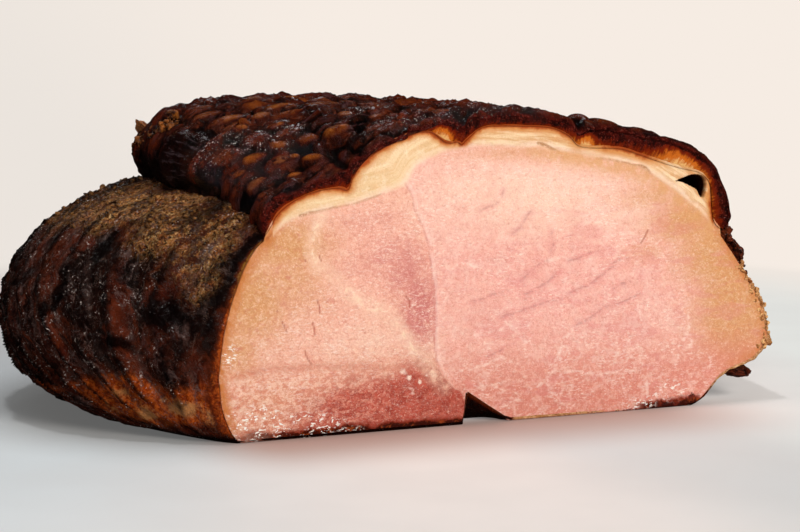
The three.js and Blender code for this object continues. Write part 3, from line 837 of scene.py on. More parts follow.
def rind_glaze(f, p):
    """Coats of red-brown and amber where blisters stand up, with painted fine highlights in the amber, of
    painted sheen on the streaks' tops, of black on the fold with painted highlights on its wrinkles, of black as
    painted shade in the creases, and of painted glints as bright specks where it is wet."""
    # painted highlight: lighter amber flecks in the blisters' amber
    glow = f.coats("#541e08", (f.band(p.wide, 0.38, 0.62), "#9a5218"),
                   (f.band(p.small, 0.5, 0.66, 0, 0.35), "#a86a28"))
    amber = f.times(f.band(p.height, 0.5, 1.05), f.field("amber"), f.band(p.streak, 0.35, 0.55, 0.5, 0.95))
    glint_mask = f.times(f.band(p.wet, 0.25, 0.8), f.band(p.small, 0.46, 0.56), f.band(p.streak, 0.47, 0.56))
    return [
        (f.band(p.wide, 0.4, 0.6), "#2f1008"),
        (f.times(f.band(p.height, 0.35, 0.9), f.band(p.small, 0.3, 0.6, 0.3, 0.9)), "#551c0c"),
        # painted sheen: grey-mauve on the raised tops of the streaks
        (f.times(f.band(p.streak, 0.5, 0.64), f.band(p.wide, 0.62, 0.4, 0.15, 0.75)), "#3f2425"),
        (f.times(f.band(p.streak, 0.5, 0.36), f.band(p.wide, 0.4, 0.6), 0.7), "#55200e"),
        (amber, glow),
        (f.times(p.fold, 0.9), "#060303"),
        # painted highlight: grey along the crests of the fold's wrinkles
        (f.times(f.band(p.wrinkles, 0.52, 0.64), p.fold, 0.6), "#45373a"),
        (f.times(f.broken(f.field("black"), p.small), 0.9), "#040202"),
        # painted shade: near-black in the creases between blisters and in the knife scores
        (f.band(p.crease, 0.1, 0.8, 0, 0.95), "#020101"),
        # painted highlight: pale glint specks where the rind is wet
        (f.times(f.band(p.specks, 0.6, 0.66), glint_mask, f.band(p.fold, 0.6, 0.1), 0.85), "#d6ccc9"),
    ]


def rind_edge(f, p):
    """Coats of the cut edge: dark red skin with lighter specks as painted glints, that frays into brown, orange
    and cream where the fat begins.
    """
    # painted highlight: lighter red-brown specks as granular glints on the skin
    skin = f.coats("#1a0504", (f.band(p.small, 0.35, 0.65), "#45100a"),
                   (f.band(p.specks, 0.58, 0.68, 0, 0.55), "#7c3a30"))
    fringe = f.noise(1.0, 4, 0.7, 0.3, at=f.places((p.across, 1.3), (f.times(p.band, 1.2), 1.0)))
    thin = f.times(f.field("thin"), f.band(p.band, 0.1, 0.6))
    torn = f.total((p.band, 1.0), (fringe, 0.7), (p.small, 0.5), (thin, 0.6), offset=-0.7)
    return [
        (f.band(p.band, 0.02, 0.25), skin),
        (f.band(torn, 0.5, 0.85), "#6f1f07"),
        (f.band(torn, 0.85, 1.1), "#c4651c"),
        (f.band(torn, 1.15, 1.4), "#e9b472"),
    ]


def rind_finish():
    """Blistered rind: near-black glaze, amber where blisters stand up, red-brown on its cut edge."""
    f = Finish("blistered rind")
    p = rind_patterns(f)
    colour = f.coats("#0d0504", *rind_glaze(f, p), *rind_edge(f, p))
    rough = f.band(f.noise(3, 3, 0.6), 0.3, 0.7, 0.06, 0.16)
    relief = f.total((p.fine, 0.35), (p.small, 0.5), (p.streak, 1.2), (f.times(p.wrinkles, p.fold), 2.2))
    wet = f.band(f.total((p.small, 0.6), (p.wet, 1.0)), 0.35, 0.75, 0.2, 1)
    wet = f.times(wet, f.band(f.noise(1.7, 3, 0.65), 0.43, 0.54, 0.3, 1.0), f.band(p.fold, 0.2, 0.8, 1, 0.5))
    return f.finish(colour, rough, f.bump(p.specks, 0.3, f.bump(relief, 0.7)), Specular_IOR_Level=wet)


# ---------------------------------------------------------------- the browned crust

CRUST_THICKNESS = 1.3  # at its rim on the cut
CRUST_COLUMNS_UNDER = 205
CRUST_COLUMNS_OVER = 245
CRUST_SQUARENESS = 2.5  # of the far end, which is rounder at 2
NOTCH_PLACE = 0.426 * CUT_WIDTH  # the gap under the seam between the two muscles
NOTCH_WIDTH = 16
NOTCH_HEIGHT = 10.3
NOTCH_DEPTH = 9
# Patches on the left-hand side, [depth, up, half-width, half-height, strength], in millimetres
CRUST_PATCHES = {
    "tan": [[45, 70, 45, 7, 0.9], [20, 66, 14, 8, 0.9], [9, 58, 7, 9, 0.9], [4, 49, 4, 6, 0.7],
            [75, 66, 20, 8, 0.7]],
    "ruddy": [[46, 60, 6, 5, 1], [20, 40, 6, 8, 1], [32, 48, 4, 8, 0.3], [12, 55, 5, 5, 0.7],
              [30, 30, 5, 8, 0.6], [4, 24, 3, 10, 0.8]],
    "black": [[34, 58, 4, 7, 1], [9, 41, 5, 9, 1], [40, 42, 4, 9, 0.9], [18, 31, 4, 4, 0.9],
              [4, 36, 3, 7, 0.8], [58, 48, 6, 8, 0.8], [27, 64, 5, 3, 0.7], [70, 40, 8, 14, 0.8]],
    "rust": [[15, 13, 15, 6, 1], [5, 11, 5, 5, 1], [28, 13, 8, 4, 0.8], [50, 13, 10, 3, 0.5]],
    "buff": [[26, 10, 3, 2, 0.6], [2.5, 8, 1.5, 3, 0.7], [15, 9.5, 3, 2.5, 1], [6, 11.5, 2.6, 3, 1],
             [10, 15, 2, 1.5, 0.7], [20, 14, 2.5, 1.5, 0.7]],
}
KNOB = [[72, 31, 5.5, 5, 3]]  # a lump low on the far left, with its height as the strength
FOLD_SPACING = 0.165  # of the folds, in shares of the fan


def notch_lift(x, depth):
    """Height of the gap's roof over the table: steep on its left, a long slope on its right, and fading
    with depth."""
    left = (x - NOTCH_PLACE + 0.06 * NOTCH_WIDTH) / (0.06 * NOTCH_WIDTH)
    right = (NOTCH_PLACE + 0.94 * NOTCH_WIDTH - x) / (0.94 * NOTCH_WIDTH)
    fade = np.clip(1 - depth / NOTCH_DEPTH, 0, 1)
    return NOTCH_HEIGHT * fade * np.clip(np.minimum(left, right) - (1 - fade) * 0.3, 0, 1)


def meat_ring(depth, under_shares, over_shares):
    """Section of the meat at each depth, as [x, z]: under line forwards, then over line backwards. The share
    of the way from the section at the cut to the fullest one is sin^0.8 of a quarter turn."""
    way = np.sin(math.pi / 2 * np.clip(depth / SWELL_DEPTH, 0, 1))[:, None, None] ** 0.8
    ring = []
    for part, shares in (("under", under_shares), ("over", over_shares[::-1])):
        at_cut, at_swell = smooth_line(MEAT_AT_CUT[part], shares), smooth_line(MEAT_AT_SWELL[part], shares)
        ring.append(at_cut + way * (at_swell - at_cut))
    return np.concatenate(ring, axis=1)


def sides_matter(points):
    """More columns where the meat's side shows, fewer on its flat underside and under the rind."""
    x = points[:, 0] / CUT_WIDTH
    return 1 + 2.2 * (ramp(x, 0.02, -0.06) + ramp(x, 0.9, 0.97))


def crust_rows():
    """Depth of each row, and how far it lies in from the skin: along the inside from the far end to the
    rim, round the rim's half-round lip, and along the outside back to the far end."""
    inside = [MEAT_DEPTH - 2, MEAT_DEPTH - 8, 120, 90, 62, 35, 18, 9, 4, 2]
    wall = [4, 4, 4, 4, 4, 4, 4, 3, 2, 1.5]
    lip = np.radians([150, 120, 90, 60, 30, 0])
    straight = np.linspace(0, SWELL_DEPTH, 70)[1:-1]
    outside = np.concatenate([straight, rounded_depths(SWELL_DEPTH, MEAT_DEPTH, CRUST_SQUARENESS, 60, 130)])
    depth = np.concatenate([inside, 0.55 - 0.62 * np.sin(lip), outside])
    inset = np.concatenate([wall, CRUST_THICKNESS * (1 - np.cos(lip)) / 2, np.zeros(len(outside))])
    return depth, inset, np.arange(len(depth)) >= len(inside)


def plain_crust(depth):
    """The meat's section at each depth, drawn in about a middle point by the rounding of the far end.
    Returns its points and the share that is kept of each section."""
    under = even_shares(MEAT_AT_SWELL["under"], CRUST_COLUMNS_UNDER, sides_matter)
    over = even_shares(MEAT_AT_SWELL["over"], CRUST_COLUMNS_OVER, sides_matter)[1:-1]
    ring = meat_ring(np.clip(depth, 0, None), under, over)
    kept = rounded(depth, SWELL_DEPTH, MEAT_DEPTH, CRUST_SQUARENESS)
    kept[:2] = kept[2] * np.array([0.02, 0.6])
    middle = np.array([0.42 * CUT_WIDTH, 0.33 * JOINT_HEIGHT])
    return lofted(middle + (ring - middle) * np.maximum(kept, 0.004)[:, None, None], depth), kept


def crust_relief(grid):
    """Relief of the browned side: folds that fan out from below the cut's left-hand corner, with a film
    stretched along each crest, a slow unevenness, lumps, and crumbs on the shoulder. Returns the relief, how far
    each place lies in a hollow, which the finish paints dark as shade, the fan's share, and the film, which the
    finish paints grey-mauve as sheen."""
    depth, up = grid[..., 1], grid[..., 2]
    fan = depth / (26 + np.clip(up, 0, None))
    bend = (0.035 + 0.1 * ramp(depth, 105, 140)) * layered(grid, 20, 31, 2)
    fold = np.abs(np.sin(np.pi * (fan + bend - 0.0075) / FOLD_SPACING)) ** 0.75
    strength = (0.6 + 0.4 * swells(grid, 16, 32)) * within(up, 4, 14, 62, 78)
    # the film: a slightly raised strip on each fold crest, which the finish paints with sheen
    film_and_sheen = ramp(fold, 0.955, 0.995) * ramp(layered(grid, 9, 37, 2), -0.25, 0.3) * within(up, 8, 16, 60, 70)
    uneven = layered(grid, 30, 33, 3)
    near, lot = crowd(fan * 11 + 0.8 * swells(grid, 9, 39), up / 7.5 + depth / 40, 34, 0.95)
    lumps = np.clip(1 - (near / 0.5) ** 2, 0, 1) ** 0.7 * (0.3 + 0.7 * lot)
    shoulder = ramp(up, 50, 62)
    crumbs = layered(grid, 3.0, 35, 3)
    relief = 3.4 * (fold - 0.7) * strength * (1 - 0.5 * shoulder) + 1.6 * uneven + 1.3 * (lumps - 0.3)
    relief = relief + (0.45 + 0.45 * shoulder) * crumbs + 0.35 * film_and_sheen
    relief = relief + patches(KNOB, depth, up) * ramp(grid[..., 0], 0, -0.1 * CUT_WIDTH)
    # how deep each place lies in a hollow, which the finish paints near-black as shade
    hollow_shade = 2.2 * np.clip(0.62 - fold, 0, None) * strength
    hollow_shade = hollow_shade + 0.35 * np.clip(-crumbs, 0, None) + 0.5 * (0.25 - lumps)
    return relief, np.clip(hollow_shade, 0, None), fan, film_and_sheen


def calmed(relief, grid, kept, right):
    """The relief, lower at the rim, on the right-hand end and where the far end closes, with round scallops
    high on the right-hand end and crumbs below them."""
    high = right * ramp(grid[..., 2], 38, 46)
    scallop = crowd(grid[..., 2] / 5.2, grid[..., 1] / 5, 38)[0]
    relief = relief * (0.3 + 0.7 * ramp(grid[..., 1], 0, 7)) * (1 - 0.5 * right)
    relief = relief + high * (1.9 * np.sqrt(np.clip(1 - (scallop / 0.65) ** 2, 0, 1)) - 0.4)
    relief = relief + right * (1 - high) * 0.5 * layered(grid, 2.4, 63, 3)
    return relief * np.sqrt(np.maximum(kept, 0.03))[:, None]


def crust_fields(skin, right):
    """Shares of the patches on the left-hand side, of the baked places on the right-hand end and low under
    the right-hand muscle, and of the painted shade on the gap's wall, all with worn borders."""
    x, depth, up = skin[..., 0] / CUT_WIDTH, skin[..., 1], skin[..., 2]
    worn_depth, worn_up = depth + 3.5 * layered(skin, 9, 61, 3), up + 3.5 * layered(skin, 9, 62, 3)
    fields = {name: patches(marks, worn_depth, worn_up) * ramp(x, 0.5, 0.3)
              for name, marks in CRUST_PATCHES.items()}
    end = right * ramp(worn_up, 48, 38) * ramp(worn_depth + 6 * layered(skin, 12, 64, 2), 20, 3)
    base = within(x, 0.505, 0.52, 0.73, 0.76) * ramp(depth, 4, 1) * ramp(up, 12, 6)
    fields["baked"] = np.maximum(end, base)
    # where the gap's wall is painted dark as shade
    fields["notch_shade"] = within(x, 0.42, 0.43, 0.51, 0.52) * ramp(depth, 0.1, 0.8) * ramp(up, 12, 10)
    return fields


def browned_crust():
    """The meat's skin as a closed cup: its inside from the far end to the rim, and its outside back again.
    Every point moves along its normal by its relief less its inset, and lies on the table or above it.
    Returns the outer points."""
    depth, inset, is_outside = crust_rows()
    grid, kept = plain_crust(depth)
    right = ramp(grid[..., 0], 0.86 * CUT_WIDTH, 0.92 * CUT_WIDTH)
    relief, hollow_shade, fan, film_and_sheen = crust_relief(grid)
    shift = np.where(is_outside[:, None], calmed(relief, grid, kept, right), 0) - inset[:, None]
    above_table = ramp(grid[..., 2], 0.9, 3.5)
    skin = grid + facing(grid, True) * (shift * above_table)[..., None]
    skin[..., 2] = np.maximum(skin[..., 2], inset[:, None])
    skin[..., 2] += notch_lift(skin[..., 0], skin[..., 1]) * ramp(skin[..., 2], 6, 1)
    x, up = grid[..., 0] / CUT_WIDTH, grid[..., 2] / JOINT_HEIGHT
    under_rind = within(x, 0.07, 0.11, 0.87, 0.905) * ramp(up, 0.5, 0.56)
    skin[..., 1] += 5 * under_rind * ramp(depth, 8, 1)[:, None]

    rows, columns = skin.shape[:2]
    ring = np.arange(columns)
    faces = [grid_faces(rows, columns, True)[:, ::-1], ring[None, :], (ring + (rows - 1) * columns)[None, ::-1]]
    fields = {"depth": np.where(is_outside[:, None], skin[..., 1], 0), "up": skin[..., 2], "fan": fan,
              "shade_in_hollows": hollow_shade, "film_and_sheen": film_and_sheen, **crust_fields(skin, right)}
    make_piece("browned_crust", skin.reshape(-1, 3), faces, crust_finish(), fields)
    return skin[is_outside]


# ---------------------------------------------------------------- the cut face

FACE_INSET = 0.2  # how far the cut face stays inside the crust's rim
FACE_COLUMNS = 400
FACE_ROWS = 200
WALL_ROWS = (3, 18)  # depths of the block's plain wall
PIT_DEPTH = 13
SEAM_PLACE = 37.5  # hundredths of the width at which the right-hand muscle begins


def cut_columns():
    """The x of each column, closer together at both ends, beside the pocket and at the gap, and the heights
    of its lowest and highest points."""
    fine = np.linspace(0, CUT_WIDTH, 6001)
    ends = np.exp(-fine / 3) + np.exp(-(CUT_WIDTH - fine) / 3)
    steep = np.exp(-((fine - 0.86 * CUT_WIDTH) / 6) ** 2) + np.exp(-((fine - NOTCH_PLACE) / 1.5) ** 2)
    crowding = np.cumsum(1 + 3 * ends + 1.5 * steep)
    x = np.interp(np.linspace(crowding[0], crowding[-1], FACE_COLUMNS), crowding, fine)
    inner = FACE_INSET + x * (1 - 2 * FACE_INSET / CUT_WIDTH)
    low = np.maximum(height_over(MEAT_AT_CUT["under"])(x), 0) + FACE_INSET
    low = np.maximum(low, notch_lift(inner, np.zeros_like(x)) + FACE_INSET)
    over = height_over(MEAT_AT_CUT["over"])(x)
    behind_rind = (x > 0.08 * CUT_WIDTH) & (x < 0.9 * CUT_WIDTH)
    top = np.where(behind_rind, np.maximum(over, height_over(RIND_UNDERSIDE)(x) + 1.2), over - FACE_INSET)
    return inner, low, np.maximum(top, low + 0.02)


def cut_distances(x, z, worn_x, worn_z):
    """Distance from the main seam and into the fat, both with a sign, and from the rind's underside, the
    meat's edge and each kind of stroke."""
    fat = np.abs(distance_to(FAT_LINE, worn_x, worn_z)) * np.where(z > height_over(FAT_LINE)(x), 1, -1)
    beside_fat = (x < 0.09 * CUT_WIDTH) | (x > 0.888 * CUT_WIDTH)
    over = MEAT_AT_CUT["over"]
    fields = {
        "seam": distance_to(MAIN_SEAM, worn_x, worn_z),
        "fat": np.where(beside_fat, -9, fat),
        "rind": np.where(z > height_over(RIND_UNDERSIDE)(x), 0, nearest_stroke([RIND_UNDERSIDE], worn_x, z)),
        "edge": nearest_stroke([MEAT_AT_CUT["under"], over[:5], over[-5:]], x, z),
        "slit": nearest_stroke(DARK_SLITS, x, z),
        "layer": nearest_stroke(LAYER_LINES, x, worn_z),
    }
    for name, strokes in CUT_STROKES.items():
        fields[name] = nearest_stroke(strokes, worn_x, worn_z)
    return fields


def cut_tints(x, z, seam):
    """Share of each tint on the cut, of its charred underside and of its browned rim."""
    a, b = 100 * x / CUT_WIDTH, 100 * z / JOINT_HEIGHT
    fields = {name: patches(marks, a, b) for name, marks in CUT_PATCHES.items()}
    fields["deep"] = np.where(a < SEAM_PLACE, patches(DEEP_LEFT + DEEP_RIGHT, a, b), patches(DEEP_RIGHT, a, b))
    fields["red"] = patches(RED_MEAT, a, b) * ramp(seam, 0.5, -0.5)
    fields["charred"] = ramp(a, 43.5, 42.5) * (0.35 + 0.65 * ramp(a, 2, 14)) + within(a, 73, 77, 86, 89)
    fields["rim"] = np.maximum(ramp(a, 14, 8) * ramp(b, 2, 5), 0.7 * ramp(a, 86, 92) * ramp(b, 8, 18))
    return fields


def strip(one, two):
    """Four-cornered faces between two rows of point numbers."""
    return np.stack([one[:-1], one[1:], two[1:], two[:-1]], axis=-1)


def block_behind(front, x, low, top):
    """Points and faces of a closed block: the front, then a low and a top row at each depth of its wall."""
    rows, columns = front.shape[:2]
    behind = []
    for depth in WALL_ROWS:
        for line, way in ((low, 1), (top, -1)):
            behind.append(np.stack([x, np.full(columns, float(depth)), line + way * 0.6], axis=-1))
    number = np.arange(rows * columns).reshape(rows, columns)
    first = rows * columns + np.arange(columns)
    low_rows = [number[0], first, first + 2 * columns]
    top_rows = [number[-1], first + columns, first + 3 * columns]
    faces = [strip(one, two) for one, two in zip(number[:-1], number[1:])]
    faces += [strip(two, one) for one, two in zip(low_rows, low_rows[1:])]
    faces += [strip(one, two) for one, two in zip(top_rows, top_rows[1:])]
    faces.append(strip(top_rows[-1], low_rows[-1]))
    for end in (0, -1):
        around = [*number[:, end], *(row[end] for row in top_rows[1:]), *(row[end] for row in low_rows[:0:-1])]
        faces.append(np.array([around if end == 0 else around[::-1]]))
    return np.concatenate([front.reshape(-1, 3), *behind]), faces


def cut_face():
    """Meat and fat as one closed block behind the cut: columns at each x from the underside line to the top
    line, a relief towards the viewer, and plain walls behind. The pocket is a steep pit in its fat."""
    inner, low, top = cut_columns()
    x = np.repeat(inner[None, :], FACE_ROWS, 0)
    z = low + np.linspace(0, 1, FACE_ROWS)[:, None] * (top - low)
    flat = np.stack([x, np.zeros_like(x), z], axis=-1)
    worn_x, worn_z = x + 0.5 * layered(flat, 5, 43, 3), z + 0.5 * layered(flat, 5, 44, 3)
    fields = cut_distances(x, z, worn_x, worn_z)
    seam, fat, rind_away, edge = (fields[name] for name in ("seam", "fat", "rind", "edge"))
    pocket_edge = nearest_stroke([[*POCKET, POCKET[0]]], x, z)
    pit = ramp(np.where(inside_of(POCKET, x, z), pocket_edge, -pocket_edge), -0.15, 0.7)
    relief = 0.45 * layered(flat, 30, 41, 2) + 0.14 * layered(flat, 2.6, 42, 3)
    relief = relief - 0.1 * np.exp(-(seam / 0.5) ** 2) + 0.3 * ramp(fat, -0.5, 1.5)
    relief = relief * ramp(edge, 0, 3) * ramp(rind_away, 0, 3)
    points, faces = block_behind(np.stack([x, PIT_DEPTH * pit - relief, z], axis=-1), inner, low, top)
    fields = {**fields, **cut_tints(x, z, seam), "pit": pit * 12, "across": x, "up": z}
    hidden = np.zeros(len(points) - x.size)
    fields = {key: np.concatenate([value.ravel(), hidden]) for key, value in fields.items()}
    make_piece("cut_meat_and_fat", points, faces, cut_face_finish(), fields)


# ---------------------------------------------------------------- the rind

SCORES = ((0.22, 1.6, 0.9), (0.422, 2.4, 0.8), (0.628, 2.2, 1.3))  # knife scores: place, width and depth
THIN_EDGE = ((0.64, 0.02), (0.82, 0.05), (0.385, 0.02))  # where its cut edge is thin: place and width
RIND_TURN = 2.2  # how far its front edge is rounded over
RIND_WHOLE = 84  # depth from which its section shrinks
RIND_THICK = 92  # depth from which it also gets thinner
RIND_COLUMNS_OVER = 321
RIND_COLUMNS_UNDER = 161
EDGE_TURN = np.radians([0, 15, 30, 45, 60, 75, 90])
EDGE_SHARES = [0.14, 0.28, 0.42, 0.56, 0.7, 0.84, 0.96]  # rows down its cut edge
# Single blisters: [across, depth, half-length, half-width, height, amber, turn in degrees], where across is
# measured over the top
BLISTERS = [[52, 18, 6.2, 4.4, 3.2, 1, 10], [26, 23, 5.1, 2.9, 2.4, 0.9, 12], [36, 24.5, 4.2, 2.7, 2, 0.6, 0],
            [16, 12, 5.1, 2.7, 2.1, 0.6, 24], [18, 21, 3, 2, 1.6, 0.6, 10], [29, 17, 2.4, 1.6, 1.3, 0.8, 0],
            [34, 16.5, 1.9, 1.6, 1.3, 0.8, 0], [36.5, 12, 4.2, 2.5, 1.8, 1, -20], [26, 8, 3.4, 1.8, 1.5, 0.9, 8],
            [38, 48, 8.5, 3.2, 2, 0.9, 6], [36, 57, 7, 3, 1.8, 0.5, 0], [37, 40, 3, 2.5, 1.6, 0.7, 19],
            [58, 50, 9, 2.8, 2, 0.8, 20], [47, 44, 6, 2.4, 1.9, 0.2, 13], [73, 49, 10, 3.6, 2.2, 1, 20],
            [45, 35, 4.6, 2.1, 1.6, 0.7, 18], [44, 22, 4.9, 3.1, 2, 0.35, 4], [22, 30, 6.5, 4.7, 3.4, 0.1, -10],
            [34, 31, 6.2, 3.4, 2.8, 0, 12], [27, 38, 7, 2.5, 2.4, 0, 12], [44, 29, 6, 2.6, 1.8, 0.05, 0],
            [13, 4.5, 2.6, 1.8, 1.3, 0.3, -25], [66, 28, 4, 3, 1.6, 0.5, 10], [86, 40, 12, 3, 1.4, 0.6, 25],
            [70, 19, 4, 2.8, 1.7, 0.4, 10], [76, 17, 5, 2.2, 1.5, 0.6, 12], [61, 10, 5, 3.2, 1.9, 0.05, 5],
            [88, 16, 4.5, 2.2, 1.4, 0.4, 20], [149, 6, 4.5, 6, 2.4, 0.1, 0], [158, 4, 6.5, 5, 1.8, 0.2, 0]]
FLOW = 14  # degrees by which the rind's ridges turn backwards from the direction across the cut
FOLD_PLACE = (16, 49)  # a large smooth wrinkled fold at the left-hand end
FOLD_HALF = (11, 10)
# Wet patches on the rind: glossier, and where the painted glints go
WET_RIND = [[112, 8, 30, 9, 0.7], [24, 34, 12, 9, 1], [36, 25, 8, 6, 1], [45, 32, 9, 5, 0.8], [84, 8, 9, 8, 1],
            [66, 10, 8, 6, 0.9], [20, 16, 8, 8, 0.5], [73, 30, 9, 8, 0.6], [100, 14, 26, 7, 0.5]]
BLACK_RIND = [[3, 72, 13, 24, 1.3], [49, 9, 9, 4, 1], [20, 15, 4, 3, 0.8], [30, 36, 10, 4, 0.7],
              [62, 20, 6, 3, 0.7]]
AMBER_RIND = [[50, 50, 24, 10, 0.9], [80, 46, 22, 12, 0.7], [104, 22, 20, 8, 0.4], [60, 66, 26, 10, 0.7]]


def turned(across, depth, degrees):
    """Places measured along and aside of a direction that is turned from across towards depth."""
    c, s = math.cos(math.radians(degrees)), math.sin(math.radians(degrees))
    return c * across + s * depth, c * depth - s * across


def single_blisters(across, depth):
    """Domes h (1 - r^2)^0.6 on ovals. Returns the highest dome's height, its share of its own height, and
    its amber."""
    height, share, amber = np.zeros(across.shape), np.zeros(across.shape), np.zeros(across.shape)
    for u, v, long, wide, tall, tone, turn in BLISTERS:
        along, aside = turned(across - u, depth - v, turn)
        dome = np.clip(1 - (along / long) ** 2 - (aside / wide) ** 2, 0, 1) ** 0.6
        higher = dome * tall > height
        height = np.where(higher, dome * tall, height)
        share = np.where(higher, dome, share)
        amber = np.where(higher, tone, amber)
    return height, share, amber


def knife_scores(flat, x):
    """Share of each knife score, which wanders with depth and fades out 34 mm behind the cut."""
    scored = 0
    for n, (place, wide, deep) in enumerate(SCORES):
        off = x - place * CUT_WIDTH + 3 * swells(flat * [0, 1, 0], 9, 60 + n)
        scored = np.maximum(scored, deep * np.exp(-(off / wide) ** 2) * ramp(flat[..., 1], 34, 3))
    return scored


def rind_relief(across, depth, x):
    """Height of the rind over its plain form: single blisters, long ones crowded between them with valleys,
    a slow swell, low ridges on the right, and three knife scores. Returns height and its finish's fields."""
    flat = np.stack([across, depth, 0 * across], axis=-1)
    tall, dome, amber = single_blisters(across + 1.2 * layered(flat, 6, 51, 2),
                                        depth + 1.2 * layered(flat, 6, 52, 2))
    along, aside = turned(across, depth, FLOW)
    along = along + 2.6 * swells(flat, 14, 59) + 0.8 * layered(flat, 4, 65, 2)
    aside = aside + 2.6 * swells(flat, 12, 58) + 0.8 * layered(flat, 4, 66, 2)
    near, lot = crowd(along / 14, aside / 5.2, 53, 0.95)
    near_small, lot_small = crowd(along / 4.6, aside / 2.8, 54, 0.95)
    size = 0.45 + 0.2 * lot
    blister = np.clip(1 - (near / size) ** 2, 0, 1) ** 0.6
    small = np.clip(1 - (near_small / 0.5) ** 2, 0, 1) ** 0.6 * lot_small
    free = 1 - ramp(dome, 0, 0.25)
    (fold_across, fold_depth), (half_across, half_depth) = FOLD_PLACE, FOLD_HALF
    fold = np.exp(-((across - fold_across) / half_across) ** 4 - ((depth - fold_depth) / half_depth) ** 4)
    smooth = ramp(x, 0.46 * CUT_WIDTH, 0.62 * CUT_WIDTH)
    ridges = 1 - np.abs(swells(np.stack([along / 12, aside / 3.2, 0 * along], axis=-1), 1, 56))
    drape = 1 - np.abs(swells(flat / [3.2, 16, 1] + [0, 0, 7], 1, 67))
    scored = knife_scores(flat, x)
    crowded = 2.7 * (blister - 0.35) * size / 0.5 + 0.6 * (small - 0.25)
    height = free * (1 - fold) * ((1 - 0.65 * smooth) * crowded + 2.6 * (1 - 0.3 * smooth) * (ridges - 0.7))
    height = height + tall - 0.5
    height = height + fold * (3.0 + 1.5 * (drape - 0.5)) + layered(flat, 24, 57, 2) - 3.2 * scored
    top = np.maximum(dome, blister * free * (0.5 + 0.5 * lot))
    # painted shade: the valleys between blisters, with the scores, make the crease field that the finish paints
    # near-black
    valley_shade = ramp(top + 0.5 * small, 0.35, 0.0) * (1 - fold) * (1 - 0.6 * smooth)
    amber = np.maximum(amber * (dome > 0), patches(AMBER_RIND, across, depth) * ramp(lot, 0.3, 0.6))
    looks = {"height": top, "crease": np.maximum(valley_shade, np.minimum(scored, 1)), "amber": amber * (1 - fold),
             "fold": fold, "along": along, "aside": aside, "wet": patches(WET_RIND, across, depth),
             "black": patches(BLACK_RIND, across, depth)}
    return height, looks


def even_line(marks, count):
    """Points evenly spaced along a smooth line."""
    return smooth_line(marks, even_shares(marks, count))


def rind_rings(depth):
    """Over and under lines of the rind's section at each depth, as [x, z]. On the cut the under line is that
    of the rind alone, and from a little way behind it, later at the right, it takes in the fat, and sinks
    into the meat. Both pass to the fullest section by an eased share of the depth, to the power of 0.8."""
    way = ramp(np.clip(depth, 0, None), 0, SWELL_DEPTH)[:, None, None] ** 0.8
    over = even_shares(RIND_AT_SWELL["over"], RIND_COLUMNS_OVER)
    at_cut, at_swell = smooth_line(RIND_AT_CUT["over"], over), smooth_line(RIND_AT_SWELL["over"], over)
    thin = even_line(RIND_UNDERSIDE, RIND_COLUMNS_UNDER)
    full_cut = even_line(RIND_AT_CUT["under"], RIND_COLUMNS_UNDER)
    full_swell = even_line(RIND_AT_SWELL["under"], RIND_COLUMNS_UNDER)
    share = np.linspace(0, 1, RIND_COLUMNS_UNDER)
    sink = 5 * np.sin(np.pi * share) ** 0.7
    full = full_cut + way * (full_swell - full_cut) - np.stack([0 * sink, sink], axis=-1)
    start = np.where(share > 0.8, 15.0, 1.0)
    filled = ramp(depth[:, None], start, start + 4)[..., None]
    return at_cut + way * (at_swell - at_cut), thin + filled * (full - thin)


def under_row(row):
    """The under line's points of a ring, left to right, with the two ends that both lines share."""
    over, under = row[:RIND_COLUMNS_OVER], row[RIND_COLUMNS_OVER:]
    return np.concatenate([over[:1], under[::-1], over[-1:]])


def halved(long, short):
    """Three triangles for every two steps of a long row against one of a short row."""
    a, b, c = long[:-1:2], long[1::2], long[2::2]
    p, q = short[:-1], short[1:]
    return np.concatenate([np.stack(t, axis=-1) for t in ((a, b, p), (b, q, p), (b, c, q))])


def cut_edge_rows(edge, bottom, ends):
    """Rows from the rind's rounded front edge down to its underside on the cut, with a lumpy bulge towards
    the viewer of sin(pi (1/4 + 3t/4)). Yields the share t of the way down, and the row without its ends."""
    places, under_places = (np.linspace(0, 1, count) for count in (RIND_COLUMNS_OVER, RIND_COLUMNS_UNDER))
    under = np.stack([np.interp(places, under_places, bottom[:, n]) for n in range(3)], axis=-1)
    for t in EDGE_SHARES:
        line = edge * (1 - t) + under * t
        bulge = 0.35 * ends + 0.35 * layered(line, 2.2, 57, 3)
        line[:, 1] = edge[:, 1] + 0.42 * t + 0.45 * t**6 - bulge * np.sin(np.pi * (0.25 + 0.75 * t))
        yield t, line[1:-1]


def shrunk(part, depth):
    """A part of the rind drawn in about a middle point by its rounded far end, in width and in height."""
    wide = np.maximum(rounded(depth, RIND_WHOLE, RIND_DEPTH + 0.5, 2.6), 0.55)[:, None]
    thick = np.maximum(rounded(depth, RIND_THICK, RIND_DEPTH, 2.2), 0.01)[:, None]
    middle_x, middle_z = 0.44 * CUT_WIDTH, 0.65 * JOINT_HEIGHT
    x = middle_x + (part[..., 0] - middle_x) * wide
    z = middle_z + (part[..., 2] - middle_z) * thick
    return np.stack([x, part[..., 1], z], axis=-1)


